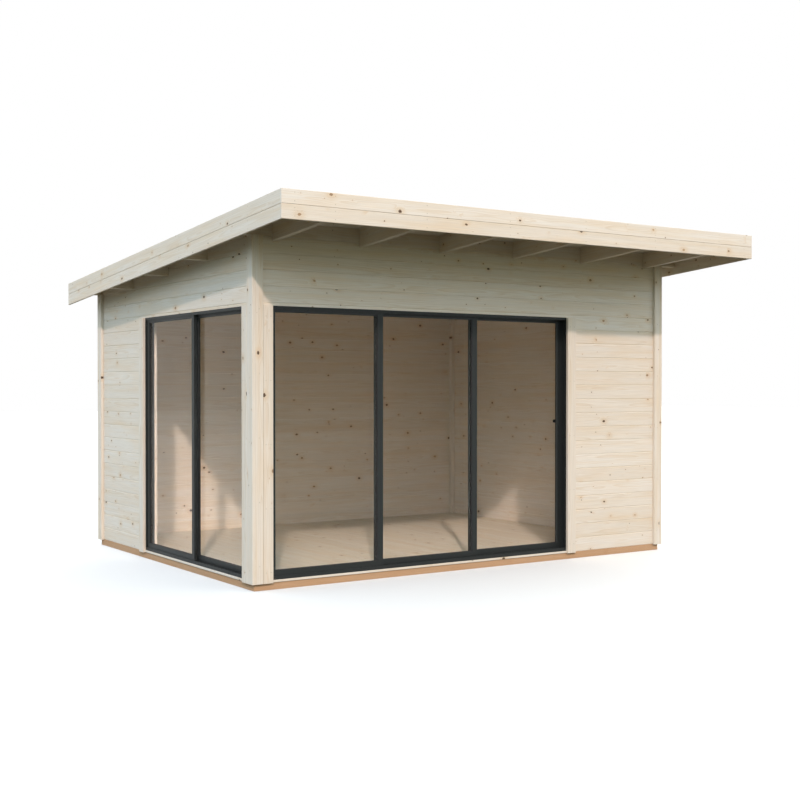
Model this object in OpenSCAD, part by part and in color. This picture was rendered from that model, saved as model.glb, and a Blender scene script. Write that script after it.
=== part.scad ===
// Garden room with a single-slope roof and sliding glass doors on two sides.
// Millimetres. X runs along the front, Y from the front to the back, Z up.
// The origin is the middle of the roof's outline, on the ground.

/* [Plan] */
// Length of the foundation along the front
plan_length = 4116; // [3600:12:5400]
// Width of the foundation from front to back
plan_width = 3166; // [2700:12:4200]
// Thickness of the wall boards
wall_t = 44; // [28:1:58]
// Width of a foundation beam
beam_w = 70; // [60:1:120]
// Height of a foundation beam
beam_h = 56; // [44:1:90]
// Number of joists between the front and back beams
joist_count = 5; // [3:1:9]
// Width of a joist
joist_w = 45; // [38:1:70]
// Thickness of the floor boards
floor_t = 19; // [16:1:28]

/* [Cladding] */
// Thickness of the corner boards and door trims
trim_t = 26; // [18:1:32]
// Width of each leg of a corner board, outside the wall
corner_leg = 64; // [56:1:68]
// How far the trims beside the corner lap over the door frames
corner_trim_lap = 34; // [10:1:40]
// Width of the trim at the far end of each door
trim_w = 93; // [80:1:120]
// How far the front door's far trim laps over its frame
front_trim_lap = 32; // [0:1:40]
// How far the left door's far trim laps over its frame
left_trim_lap = 6; // [0:1:40]
// Open joint between a corner board and the trim beside it
trim_gap = 2; // [2:1:12]
// How far the corner boards and trims hang over the foundation
trim_drop = 4; // [0:1:10]
// Side of the square battens in the inner corners
batten_w = 45; // [38:1:60]
// Width of the inner door posts
inner_post_w = 90; // [60:1:120]
// Thickness of the lining on the inner door posts, which laps over the frame
lining_t = 28; // [16:1:34]

/* [Doors] */
// Width of the front door frame
front_door_w = 2926; // [2300:2:3100]
// Distance from the left face of the wall to the front door frame
front_door_x = 112; // [108:1:150]
// Width of the left door frame
left_door_w = 1960; // [1500:2:2050]
// Distance from the front face of the wall to the left door frame
left_door_y = 116; // [108:1:150]
// Height of the door frames
door_h = 2019; // [1900:1:2100]
// Thickness of the sill boards
sill_board_t = 15; // [12:1:19]
// How far a sill board stands out from the wall
sill_nose = 8; // [4:1:16]
// How far the front edge of a sill board hangs over the foundation
sill_drop = 2; // [0:1:4]
// Width of the aluminium frame at its sides
jamb_w = 14; // [10:1:24]
// Height of the aluminium frame at its head
head_h = 15; // [10:1:30]
// Height of the sill track
sill_h = 22; // [16:1:30]
// Depth of the frame in front of the first panel
frame_lip = 9; // [6:1:30]
// Thickness of a door panel
panel_t = 28; // [24:1:40]
// Space between two panels that pass each other
track_gap = 6; // [6:1:12]
// Width of a panel's stile
stile_w = 50; // [40:1:60]
// Height of a panel's top rail
top_rail_h = 23; // [20:1:50]
// Height of a panel's bottom rail
bottom_rail_h = 40; // [36:1:80]
// Room between a sliding panel and the frame around it
panel_play = 5; // [5:1:8]
// Thickness of the glass
glass_t = 10; // [6:1:20]
// Distance from a panel's corner to its roller shoe
shoe_inset = 60; // [40:1:120]
// Length of a roller shoe under a sliding panel
shoe_l = 70; // [50:1:110]
// Width of a roller shoe
shoe_w = 12; // [8:1:20]
// Running clearance under a roller shoe
shoe_clear = 0.3; // [0.2:0.1:0.5]
// Height of an inside lock knob above the bottom of its panel
knob_z = 1095; // [800:5:1200]
// Diameter of the knob
knob_d = 28; // [20:1:36]
// Thickness of the knob
knob_t = 18; // [10:1:24]
// How far the knob stands off its panel
knob_reach = 45; // [30:1:55]
// Diameter of the spindle that carries the knob
spindle_d = 12; // [8:1:16]
// Height of the plate behind the knob
plate_h = 70; // [50:5:120]
// Width of that plate
plate_w = 26; // [18:1:34]
// Thickness of that plate
plate_t = 5; // [3:1:8]

/* [Roof] */
// Height of the top of the roof at its front edge
front_height = 2801; // [2700:1:3000]
// Slope of the roof in degrees
roof_slope = 4.45; // [3:0.05:6]
// Overhang in front of the foundation
front_overhang = 876; // [500:2:1000]
// Overhang behind the foundation
back_overhang = 222; // [150:2:400]
// Overhang at each side of the foundation
side_overhang = 240; // [150:2:400]
// Thickness of the fascia boards
fascia_t = 20; // [16:1:28]
// Height of one fascia board
fascia_board_h = 100; // [90:1:130]
// Joint between the two fascia boards
fascia_joint = 1; // [1:0.1:3]
// How far the fascia stands above the felt
fascia_lip = 6; // [2:1:12]
// Thickness of the roofing felt
felt_t = 4; // [3:0.5:6]
// Thickness of the roof boards
deck_t = 18; // [16:1:24]
// Number of rafters
rafter_count = 6; // [4:1:9]
// Width of a rafter
rafter_w = 45; // [38:1:60]
// Height of a rafter
rafter_h = 140; // [110:1:145]
// Distance from the wall's left or right face to the outer rafter
rafter_inset = 150; // [100:1:220]
// Number of short cross rafters that carry each side of the roof
lookout_count = 5; // [3:1:7]
// Height of the middle cross rafters
lookout_h = 164; // [135:1:170]
// Height of the cross rafters over the end walls
end_lookout_h = 107; // [100:1:131]

/* [Hidden] */

SPRUCE = "#e2d3bd";
TREATED = "#c08e62";
ALUMINIUM = "#2f3436";
GLASS = [0.55, 0.6, 0.62, 0.45];
FELT = "#3a3b3c";

// Levels
floor_top = beam_h + floor_t;
sill_board_top = beam_h + sill_board_t;
trim_bottom = beam_h - trim_drop;
door_head = sill_board_top + door_h;
roof_drop = tan(roof_slope);
fascia_rows = 2;
fascia_h = fascia_rows * (fascia_board_h + fascia_joint) - fascia_joint;

// Height of each roof layer at a distance y behind the front wall's face
function roof_top(y) = front_height - (y + front_overhang) * roof_drop;
function felt_top(y) = roof_top(y) - fascia_lip;
function deck_top(y) = felt_top(y) - felt_t;
function deck_bottom(y) = deck_top(y) - deck_t;
function rafter_bottom(y) = deck_bottom(y) - rafter_h;
function end_lookout_bottom(y) = deck_bottom(y) - end_lookout_h;

// Outline of the roof
roof_front = -front_overhang;
roof_back = plan_width + back_overhang;
roof_left = -side_overhang;
roof_right = plan_length + side_overhang;
centre_x = plan_length / 2;
centre_y = (roof_front + roof_back) / 2;

// Doors
front_door_end = front_door_x + front_door_w;
left_door_end = left_door_y + left_door_w;
front_tracks = 3;
left_tracks = 2;
track_pitch = panel_t + track_gap;
function frame_depth(tracks) = 2 * frame_lip + tracks * panel_t + (tracks - 1) * track_gap;
function panel_l(opening, count) =
    (opening - 2 * jamb_w - 2 * panel_play + (count - 1) * stile_w) / count;
front_panel_l = panel_l(front_door_w, front_tracks);
left_panel_l = panel_l(left_door_w, left_tracks);
panel_bottom = sill_board_top + sill_h + panel_play;
panel_top = door_head - head_h - panel_play;

// Roof timbers
timber_drop = fascia_lip + felt_t + deck_t;
cut_more = 5;
// A hairline under the roof boards, so that what carries them never shares their space
seat_gap = 0.03;
rafter_step = (plan_length - 2 * rafter_inset - rafter_w) / (rafter_count - 1);
lookout_step = (plan_width - wall_t) / (lookout_count - 1);
joist_step = (plan_length - 2 * beam_w - joist_w) / (joist_count + 1);

// The shared frame: the origin is under the middle of the roof
module in_frame() {
    translate([-centre_x, -centre_y, 0])
        children();
}

// A box given by its lowest and highest corners
module span(low, high) {
    translate(low)
        cube([high[0] - low[0], high[1] - low[1], high[2] - low[2]]);
}

// A piece between x0 and x1 whose side view is the outline of [y, z] points
module side_profile(x0, x1, outline) {
    translate([x0, 0, 0])
        rotate([90, 0, 90])
            linear_extrude(height = x1 - x0)
                polygon(outline);
}

// A wall piece that rises from z0 to the underside of the roof boards
module wall_to_roof(x0, x1, y0, y1, z0) {
    side_profile(x0, x1, [[y0, z0], [y1, z0],
        [y1, deck_bottom(y1) - seat_gap], [y0, deck_bottom(y0) - seat_gap]]);
}

// A sloping layer of the roof between x0 and x1, and between y0 and y1
module roof_layer(x0, x1, y0, y1, drop_low, drop_high) {
    side_profile(x0, x1, [[y0, roof_top(y0) - drop_low], [y1, roof_top(y1) - drop_low],
        [y1, roof_top(y1) - drop_high], [y0, roof_top(y0) - drop_high]]);
}

// The timbers under the roof boards. To cut a wall round them they are made taller by
// more, so that they come out through its top.
module rafter_shapes(more = 0) {
    for (i = [0 : rafter_count - 1]) {
        x = rafter_inset + i * rafter_step;
        roof_layer(x, x + rafter_w, roof_front + fascia_t, roof_back - fascia_t,
            timber_drop + rafter_h, timber_drop - more);
    }
}

// Short cross rafters between x0 and x1; the first and last lie over the end walls
module lookout_shapes(x0, x1, more) {
    for (i = [0 : lookout_count - 1]) {
        y = i * lookout_step;
        at_end = i == 0 || i == lookout_count - 1;
        roof_layer(x0, x1, y, y + wall_t,
            timber_drop + (at_end ? end_lookout_h : lookout_h), timber_drop + seat_gap - more);
    }
}

module left_lookout_shapes(more = 0) {
    lookout_shapes(roof_left + fascia_t, rafter_inset, more);
}

module right_lookout_shapes(more = 0) {
    lookout_shapes(plan_length - rafter_inset, roof_right - fascia_t, more);
}

module roof_timber_shapes(more) {
    rafter_shapes(more);
    left_lookout_shapes(more);
    right_lookout_shapes(more);
}

// Foundation and floor
module foundation_front() {
    color(TREATED) in_frame()
        span([0, 0, 0], [plan_length, beam_w, beam_h]);
}

module foundation_back() {
    color(TREATED) in_frame()
        span([0, plan_width - beam_w, 0], [plan_length, plan_width, beam_h]);
}

module foundation_left() {
    color(TREATED) in_frame()
        span([0, beam_w, 0], [beam_w, plan_width - beam_w, beam_h]);
}

module foundation_right() {
    color(TREATED) in_frame()
        span([plan_length - beam_w, beam_w, 0], [plan_length, plan_width - beam_w, beam_h]);
}

module floor_joists() {
    color(TREATED) in_frame()
        for (i = [1 : joist_count]) {
            x = beam_w + i * joist_step;
            span([x, beam_w, 0], [x + joist_w, plan_width - beam_w, beam_h]);
        }
}

module floor_boards() {
    color(SPRUCE) in_frame()
        difference() {
            span([wall_t, wall_t, beam_h],
                [plan_length - wall_t, plan_width - wall_t, floor_top]);
            span([front_door_x, 0, 0], [front_door_end, frame_depth(front_tracks), door_head]);
            span([0, left_door_y, 0], [frame_depth(left_tracks), left_door_end, door_head]);
        }
}

// A sill board under a door frame. Its nose stands out between the door trims.
module sill_board(opening, tracks, far_lap) {
    color(SPRUCE) {
        span([0, 0, beam_h], [opening, frame_depth(tracks), sill_board_top]);
        span([corner_trim_lap, -sill_nose, beam_h - sill_drop],
            [opening - far_lap, 0, sill_board_top]);
    }
}

module front_sill_board() {
    on_front_wall()
        sill_board(front_door_w, front_tracks, front_trim_lap);
}

module left_sill_board() {
    on_left_wall()
        sill_board(left_door_w, left_tracks, left_trim_lap);
}

// Walls
module front_left_corner_wall() {
    color(SPRUCE) in_frame()
        translate([0, 0, beam_h])
            linear_extrude(height = door_head - beam_h)
                polygon([[0, 0], [front_door_x, 0], [front_door_x, wall_t],
                    [wall_t, wall_t], [wall_t, left_door_y], [0, left_door_y]]);
}

module front_wall_right() {
    color(SPRUCE) in_frame()
        span([front_door_end, 0, beam_h], [plan_length, wall_t, door_head]);
}

module front_wall_over_doors() {
    color(SPRUCE) in_frame()
        difference() {
            wall_to_roof(0, plan_length, 0, wall_t, door_head);
            roof_timber_shapes(cut_more);
        }
}

module left_wall_back() {
    color(SPRUCE) in_frame()
        span([0, left_door_end, beam_h], [wall_t, plan_width - wall_t, door_head]);
}

module left_wall_over_doors() {
    color(SPRUCE) in_frame()
        difference() {
            wall_to_roof(0, wall_t, wall_t, plan_width - wall_t, door_head);
            left_lookout_shapes(cut_more);
        }
}

module back_wall() {
    color(SPRUCE) in_frame()
        difference() {
            wall_to_roof(0, plan_length, plan_width - wall_t, plan_width, beam_h);
            roof_timber_shapes(cut_more);
        }
}

module right_wall() {
    color(SPRUCE) in_frame()
        difference() {
            wall_to_roof(plan_length - wall_t, plan_length, wall_t, plan_width - wall_t, beam_h);
            right_lookout_shapes(cut_more);
        }
}

// Two boards that cover an outer corner, cut off under the roof timbers.
// to_x and to_y are 1 where the corner's walls run towards +X and +Y, or else -1.
module corner_boards(x, y, to_x, to_y) {
    full = trim_t + corner_leg;
    outer_y = y - to_y * trim_t;
    inner_y = y + to_y * corner_leg;
    low_y = min(outer_y, inner_y);
    high_y = max(outer_y, inner_y);
    color(SPRUCE) in_frame()
        intersection() {
            translate([x, y, 0])
                scale([to_x, to_y, 1])
                    linear_extrude(height = front_height)
                        polygon([[-trim_t, -trim_t], [corner_leg, -trim_t], [corner_leg, 0],
                            [0, 0], [0, corner_leg], [-trim_t, corner_leg]]);
            side_profile(x - full, x + full, [[low_y, trim_bottom], [high_y, trim_bottom],
                [high_y, end_lookout_bottom(high_y)], [low_y, end_lookout_bottom(low_y)]]);
        }
}

module corner_boards_front_left() {
    corner_boards(0, 0, 1, 1);
}

module corner_boards_front_right() {
    corner_boards(plan_length, 0, -1, 1);
}

module corner_boards_back_left() {
    corner_boards(0, plan_width, 1, -1);
}

module corner_boards_back_right() {
    corner_boards(plan_length, plan_width, -1, -1);
}

// Trims beside the doors, which lap over the door frames
module front_door_trim_left() {
    color(SPRUCE) in_frame()
        span([corner_leg + trim_gap, -trim_t, trim_bottom],
            [front_door_x + corner_trim_lap, 0, door_head]);
}

module front_door_trim_right() {
    color(SPRUCE) in_frame()
        span([front_door_end - front_trim_lap, -trim_t, trim_bottom],
            [front_door_end - front_trim_lap + trim_w, 0, door_head]);
}

module left_door_trim_front() {
    color(SPRUCE) in_frame()
        span([-trim_t, corner_leg + trim_gap, trim_bottom],
            [0, left_door_y + corner_trim_lap, door_head]);
}

module left_door_trim_back() {
    color(SPRUCE) in_frame()
        span([-trim_t, left_door_end - left_trim_lap, trim_bottom],
            [0, left_door_end - left_trim_lap + trim_w, door_head]);
}

// The post inside a door's far end, with a lining over the frame's inner edge.
// It is drawn like a door, with u along the wall and v into the room.
module inner_door_post(opening, tracks) {
    depth = frame_depth(tracks);
    translate([0, 0, floor_top])
        linear_extrude(height = door_head - floor_top)
            polygon([[opening, wall_t], [opening, depth], [opening - jamb_w, depth],
                [opening - jamb_w, depth + lining_t], [opening + inner_post_w, depth + lining_t],
                [opening + inner_post_w, wall_t]]);
}

// The post inside the corner between the doors, with linings over both frames
module inner_corner_post() {
    front_v = frame_depth(front_tracks);
    left_v = frame_depth(left_tracks);
    translate([0, 0, floor_top])
        linear_extrude(height = door_head - floor_top)
            polygon([[wall_t, wall_t], [front_door_x, wall_t], [front_door_x, front_v],
                [front_door_x + jamb_w, front_v], [front_door_x + jamb_w, front_v + lining_t],
                [left_v + lining_t, front_v + lining_t],
                [left_v + lining_t, left_door_y + jamb_w], [left_v, left_door_y + jamb_w],
                [left_v, left_door_y], [wall_t, left_door_y]]);
}

// Posts beside the doors and battens in the corners, inside the room
module inner_posts() {
    batten_right = plan_length - wall_t - batten_w;
    batten_back = plan_width - wall_t - batten_w;
    front_batten_top = rafter_bottom(wall_t + batten_w);
    back_batten_top = rafter_bottom(plan_width - wall_t);
    color(SPRUCE) {
        in_frame()
            inner_corner_post();
        on_front_wall()
            inner_door_post(front_door_w, front_tracks);
        on_left_wall()
            inner_door_post(left_door_w, left_tracks);
        in_frame() {
            span([batten_right, wall_t, floor_top],
                [plan_length - wall_t, wall_t + batten_w, front_batten_top]);
            span([batten_right, batten_back, floor_top],
                [plan_length - wall_t, plan_width - wall_t, back_batten_top]);
            span([wall_t, batten_back, floor_top],
                [wall_t + batten_w, plan_width - wall_t, back_batten_top]);
        }
    }
}

// Roof
module rafters() {
    color(SPRUCE) in_frame()
        rafter_shapes();
}

module lookouts_left() {
    color(SPRUCE) in_frame()
        left_lookout_shapes();
}

module lookouts_right() {
    color(SPRUCE) in_frame()
        right_lookout_shapes();
}

module roof_boards() {
    color(SPRUCE) in_frame()
        roof_layer(roof_left + fascia_t, roof_right - fascia_t,
            roof_front + fascia_t, roof_back - fascia_t,
            fascia_lip + felt_t + deck_t, fascia_lip + felt_t);
}

module roof_felt() {
    color(FELT) in_frame()
        roof_layer(roof_left + fascia_t, roof_right - fascia_t,
            roof_front + fascia_t, roof_back - fascia_t, fascia_lip + felt_t, fascia_lip);
}

// Fascia boards along one side, one below the other
module fascia_boards(x0, x1, y0, y1, rows) {
    color(SPRUCE) in_frame()
        for (i = [0 : rows - 1]) {
            drop = i * (fascia_board_h + fascia_joint);
            roof_layer(x0, x1, y0, y1, drop + fascia_board_h, drop);
        }
}

module fascia_front() {
    fascia_boards(roof_left, roof_right, roof_front, roof_front + fascia_t, fascia_rows);
}

// The low edge has a single board, set between the boards of the two sides
module fascia_back() {
    fascia_boards(roof_left + fascia_t, roof_right - fascia_t,
        roof_back - fascia_t, roof_back, 1);
}

module fascia_left() {
    fascia_boards(roof_left, roof_left + fascia_t,
        roof_front + fascia_t, roof_back, fascia_rows);
}

module fascia_right() {
    fascia_boards(roof_right - fascia_t, roof_right,
        roof_front + fascia_t, roof_back, fascia_rows);
}

// Doors are drawn with u along the wall from the frame's near end, v into the room
module on_front_wall() {
    in_frame()
        translate([front_door_x, 0, 0])
            children();
}

// The left wall's doors are the same, with u towards the back and v towards +X
module on_left_wall() {
    in_frame()
        translate([0, left_door_y, 0])
            mirror([1, -1, 0])
                children();
}

module door_frame(opening, tracks) {
    depth = frame_depth(tracks);
    color(ALUMINIUM)
        difference() {
            span([0, 0, sill_board_top], [opening, depth, door_head]);
            span([jamb_w, -1, sill_board_top + sill_h],
                [opening - jamb_w, depth + 1, door_head - head_h]);
        }
}

// The frame of a sliding panel, from u0 along the wall, on a track counted from outside
module sliding_panel_frame(u0, length, track) {
    v0 = frame_lip + track * track_pitch;
    color(ALUMINIUM) {
        difference() {
            span([u0, v0, panel_bottom], [u0 + length, v0 + panel_t, panel_top]);
            panel_glass_space(u0, length, track);
        }
        for (u = [u0 + shoe_inset, u0 + length - shoe_inset - shoe_l])
            span([u, v0 + (panel_t - shoe_w) / 2, panel_bottom - panel_play + shoe_clear],
                [u + shoe_l, v0 + (panel_t + shoe_w) / 2, panel_bottom + 1]);
    }
}

// The frame of a fixed panel, which fills the play at the sill, the head and one jamb.
// near_play and far_play are the play it fills at each of its ends.
module fixed_panel_frame(u0, length, track, near_play, far_play) {
    v0 = frame_lip + track * track_pitch;
    color(ALUMINIUM)
        difference() {
            span([u0 - near_play, v0, panel_bottom - panel_play],
                [u0 + length + far_play, v0 + panel_t, panel_top + panel_play]);
            panel_glass_space(u0, length, track);
        }
}

module panel_glass_space(u0, length, track) {
    v0 = frame_lip + track * track_pitch;
    span([u0 + stile_w, v0 - 1, panel_bottom + bottom_rail_h],
        [u0 + length - stile_w, v0 + panel_t + 1, panel_top - top_rail_h]);
}

module panel_glass(u0, length, track) {
    v0 = frame_lip + track * track_pitch + (panel_t - glass_t) / 2;
    color(GLASS)
        span([u0 + stile_w, v0, panel_bottom + bottom_rail_h],
            [u0 + length - stile_w, v0 + glass_t, panel_top - top_rail_h]);
}

// A lock plate and its knob on the stile that starts at u0, on the back of a panel
module inside_knob(u0, track) {
    u = u0 + stile_w / 2;
    v0 = frame_lip + track * track_pitch + panel_t;
    z = panel_bottom + knob_z;
    color(ALUMINIUM) {
        span([u - plate_w / 2, v0, z - plate_h / 2], [u + plate_w / 2, v0 + plate_t, z + plate_h / 2]);
        translate([u, v0, z])
            rotate([-90, 0, 0]) {
                cylinder(d = spindle_d, h = knob_reach - 1);
                translate([0, 0, knob_reach - knob_t])
                    cylinder(d = knob_d, h = knob_t);
            }
    }
}

// Where panel number i of a door starts, from the near end of its frame
function panel_u(i, length) = jamb_w + panel_play + i * (length - stile_w);

module front_door_frame() {
    on_front_wall()
        door_frame(front_door_w, front_tracks);
}

module left_door_frame() {
    on_left_wall()
        door_frame(left_door_w, left_tracks);
}

// The front door's left panel is fixed, and the other two slide behind it
module front_panel_left() {
    on_front_wall()
        fixed_panel_frame(panel_u(0, front_panel_l), front_panel_l, 0, panel_play, 0);
}

module front_panel_left_glass() {
    on_front_wall()
        panel_glass(panel_u(0, front_panel_l), front_panel_l, 0);
}

module front_panel_middle() {
    on_front_wall()
        sliding_panel_frame(panel_u(1, front_panel_l), front_panel_l, 1);
}

module front_panel_middle_glass() {
    on_front_wall()
        panel_glass(panel_u(1, front_panel_l), front_panel_l, 1);
}

module front_panel_right() {
    u0 = panel_u(2, front_panel_l);
    on_front_wall() {
        sliding_panel_frame(u0, front_panel_l, 2);
        inside_knob(u0 + front_panel_l - stile_w, 2);
    }
}

module front_panel_right_glass() {
    on_front_wall()
        panel_glass(panel_u(2, front_panel_l), front_panel_l, 2);
}

// The left door's back panel is fixed, and its front panel slides behind it
module left_panel_front() {
    u0 = panel_u(0, left_panel_l);
    on_left_wall() {
        sliding_panel_frame(u0, left_panel_l, 1);
        inside_knob(u0, 1);
    }
}

module left_panel_front_glass() {
    on_left_wall()
        panel_glass(panel_u(0, left_panel_l), left_panel_l, 1);
}

module left_panel_back() {
    on_left_wall()
        fixed_panel_frame(panel_u(1, left_panel_l), left_panel_l, 0, 0, panel_play);
}

module left_panel_back_glass() {
    on_left_wall()
        panel_glass(panel_u(1, left_panel_l), left_panel_l, 0);
}

foundation_front();
foundation_back();
foundation_left();
foundation_right();
floor_joists();
floor_boards();
front_sill_board();
left_sill_board();
front_left_corner_wall();
front_wall_right();
front_wall_over_doors();
left_wall_back();
left_wall_over_doors();
back_wall();
right_wall();
corner_boards_front_left();
corner_boards_front_right();
corner_boards_back_left();
corner_boards_back_right();
front_door_trim_left();
front_door_trim_right();
left_door_trim_front();
left_door_trim_back();
inner_posts();
rafters();
lookouts_left();
lookouts_right();
roof_boards();
roof_felt();
fascia_front();
fascia_back();
fascia_left();
fascia_right();
front_door_frame();
left_door_frame();
front_panel_left();
front_panel_left_glass();
front_panel_middle();
front_panel_middle_glass();
front_panel_right();
front_panel_right_glass();
left_panel_front();
left_panel_front_glass();
left_panel_back();
left_panel_back_glass();
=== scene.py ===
"""Looks of a garden room: timber walls, floor and roof, aluminium sliding doors and glass.

Everything is in metres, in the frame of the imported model. X runs along the front, Y from the
front to the back, Z up. Each class makes one sub-assembly around the nodes of that model.
"""

import logging
import math
import random
from collections.abc import Callable, Sequence
from dataclasses import dataclass, field
from enum import Enum

import bmesh
import bpy
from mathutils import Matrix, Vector


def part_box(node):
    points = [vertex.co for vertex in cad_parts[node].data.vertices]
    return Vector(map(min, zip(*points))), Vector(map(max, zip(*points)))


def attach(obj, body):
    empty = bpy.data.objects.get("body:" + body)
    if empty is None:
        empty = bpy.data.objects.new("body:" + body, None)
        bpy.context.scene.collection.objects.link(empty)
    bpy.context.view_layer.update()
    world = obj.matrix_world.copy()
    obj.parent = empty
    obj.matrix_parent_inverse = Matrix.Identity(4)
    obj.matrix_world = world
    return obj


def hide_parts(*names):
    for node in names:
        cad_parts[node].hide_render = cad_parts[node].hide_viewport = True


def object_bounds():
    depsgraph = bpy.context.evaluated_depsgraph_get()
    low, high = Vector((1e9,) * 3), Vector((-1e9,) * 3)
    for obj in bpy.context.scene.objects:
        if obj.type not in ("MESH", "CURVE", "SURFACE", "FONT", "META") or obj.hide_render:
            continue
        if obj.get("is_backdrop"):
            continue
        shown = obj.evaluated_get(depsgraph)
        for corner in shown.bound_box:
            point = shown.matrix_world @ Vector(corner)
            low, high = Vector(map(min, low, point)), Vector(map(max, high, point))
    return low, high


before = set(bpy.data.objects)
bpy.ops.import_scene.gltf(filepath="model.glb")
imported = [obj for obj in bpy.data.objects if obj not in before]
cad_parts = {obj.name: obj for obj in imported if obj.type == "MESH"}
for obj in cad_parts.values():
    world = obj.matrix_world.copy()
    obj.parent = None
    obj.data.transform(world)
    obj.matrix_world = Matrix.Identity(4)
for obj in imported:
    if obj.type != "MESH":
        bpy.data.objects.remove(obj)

Point = tuple[float, float, float]
Pair = tuple[float, float]
Rect = tuple[float, float, float, float]
Colour = tuple[float, float, float, float]
Screw = tuple[Point, Point]
Socket = bpy.types.NodeSocket
Node = bpy.types.Node
Bend = Callable[[Point], Point]

MM = 0.001
log = logging.getLogger("garden_room")


# ---------------------------------------------------------------------------
# Shader graphs and finishes
# ---------------------------------------------------------------------------


class NodeMaker:
    """Adds nodes to a node tree and links them."""

    prefix: str

    def __init__(self, tree: bpy.types.NodeTree) -> None:
        """Keep the tree that the nodes go into."""
        self.tree = tree

    def add(self, kind: str, inputs: dict | None = None, **settings: object) -> Node:
        """Add one node.

        Args:
            kind: The node's type, less the prefix if that is the tree's own.
            inputs: Values or sockets for its inputs, by name or number.
            **settings: Its other properties.

        Returns:
            The new node.
        """
        node = self.tree.nodes.new(kind if "Node" in kind else self.prefix + kind)
        for key, value in settings.items():
            setattr(node, key, value)
        for key, value in (inputs or {}).items():
            self.feed(node.inputs[key], value)
        return node

    def feed(self, socket: Socket, value: object) -> None:
        """Link a socket to an input, or set the input's own value.

        Args:
            socket: The input.
            value: A socket, a number or a tuple of numbers.
        """
        if isinstance(value, Socket):
            self.tree.links.new(value, socket)
        else:
            socket.default_value = value


class Graph(NodeMaker):
    """Adds shader nodes to a material or to the world."""

    prefix = "ShaderNode"

    def __init__(self, owner: bpy.types.Material | bpy.types.World) -> None:
        """Start with no nodes.

        Args:
            owner: The new material or world.
        """
        owner.use_nodes = True
        super().__init__(owner.node_tree)
        self.owner = owner
        self.tree.nodes.clear()

    def math(self, operation: str, a: object, b: object = 0.0, c: object = 0.0,
             clamp: bool = False) -> Socket:
        """Return the result of a Math node on up to three numbers."""
        node = self.add("Math", {0: a, 1: b, 2: c}, operation=operation, use_clamp=clamp)
        return node.outputs[0]

    def vector(self, operation: str, a: object, b: object = (0.0, 0.0, 0.0)) -> Socket:
        """Return the vector, or the length, that a Vector Math node gives."""
        node = self.add("VectorMath", {0: a, 1: b}, operation=operation)
        return node.outputs["Value" if operation == "LENGTH" else "Vector"]

    def mix(self, share: object, a: object, b: object, blend: str = "MIX") -> Socket:
        """Return a colour between a and b."""
        # Sockets 6 and 7 are the two colours, and output 2 is the mixed one
        node = self.add("Mix", {"Factor": share, 6: a, 7: b}, data_type="RGBA",
                        blend_type=blend)
        return node.outputs[2]

    def tint(self, share: object, a: object, b: object) -> Socket:
        """Return colour a multiplied by b, by a share of 0 to 1."""
        return self.mix(share, a, b, "MULTIPLY")

    def noise(self, vector: object, scale: float, detail: float = 2.0,
              roughness: float = 0.5) -> Node:
        """Return a Noise Texture node."""
        return self.add("TexNoise", {"Vector": vector, "Scale": scale, "Detail": detail,
                                     "Roughness": roughness})

    def stretched(self, vector: object, scale: Point, detail: float) -> Node:
        """Return a noise whose scale differs from axis to axis."""
        return self.noise(self.vector("MULTIPLY", vector, scale), 1.0, detail)

    def ramp(self, value: object, stops: Sequence[Pair]) -> Socket:
        """Return a grey value from a ramp.

        Args:
            value: The ramp's input.
            stops: Pairs of position and grey value.

        Returns:
            The ramp's colour output.
        """
        return self.colours(value, [(place, (grey, grey, grey)) for place, grey in stops])

    def colours(self, value: object, stops: Sequence[tuple[float, Point]]) -> Socket:
        """Return a colour from a ramp.

        Args:
            value: The ramp's input.
            stops: Pairs of position and colour.

        Returns:
            The ramp's colour output.
        """
        node = self.add("ValToRGB", {"Fac": value})
        elements = node.color_ramp.elements
        while len(elements) < len(stops):
            elements.new(0.5)
        for element, (position, colour) in zip(elements, stops):
            element.position = position
            element.color = (*colour, 1.0)
        return node.outputs["Color"]

    def coated(self, colour: object, roughness: object, height: object, strength: float,
               relief: float, **others: object) -> bpy.types.Material:
        """Return the material of a solid finish.

        Args:
            colour: Its colour.
            roughness: Its roughness.
            height: The height of its relief, from 0 to 1.
            strength: How strongly the relief shows.
            relief: What a height of 1 stands for.
            **others: More inputs of the shader, with _ for a space in the name.

        Returns:
            The material.
        """
        bump = self.add("Bump", {"Strength": strength, "Distance": relief, "Height": height})
        inputs = {label.replace("_", " "): value for label, value in others.items()}
        shader = self.add("BsdfPrincipled", {"Base Color": colour, "Roughness": roughness,
                                             "Normal": bump.outputs["Normal"], **inputs})
        return self.surface(shader.outputs["BSDF"])

    def surface(self, shader: Socket,
                output: str = "OutputMaterial") -> bpy.types.Material | bpy.types.World:
        """Link the shader to the output and return the finished material or world."""
        self.add(output, {"Surface": shader})
        return self.owner

    def seen(self) -> Socket:
        """Return 1 for what the camera sees, itself or in gloss or through glass, else 0."""
        path = self.add("LightPath").outputs
        share = self.math("MAXIMUM", path["Is Camera Ray"], path["Is Glossy Ray"])
        share = self.math("MAXIMUM", share, path["Is Transmission Ray"])
        return self.math("MULTIPLY", share, self.math("LESS_THAN", path["Diffuse Depth"], 0.5))


def rgb(red: float, green: float, blue: float) -> Colour:
    """Return a colour with full alpha."""
    return (red, green, blue, 1.0)


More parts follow.
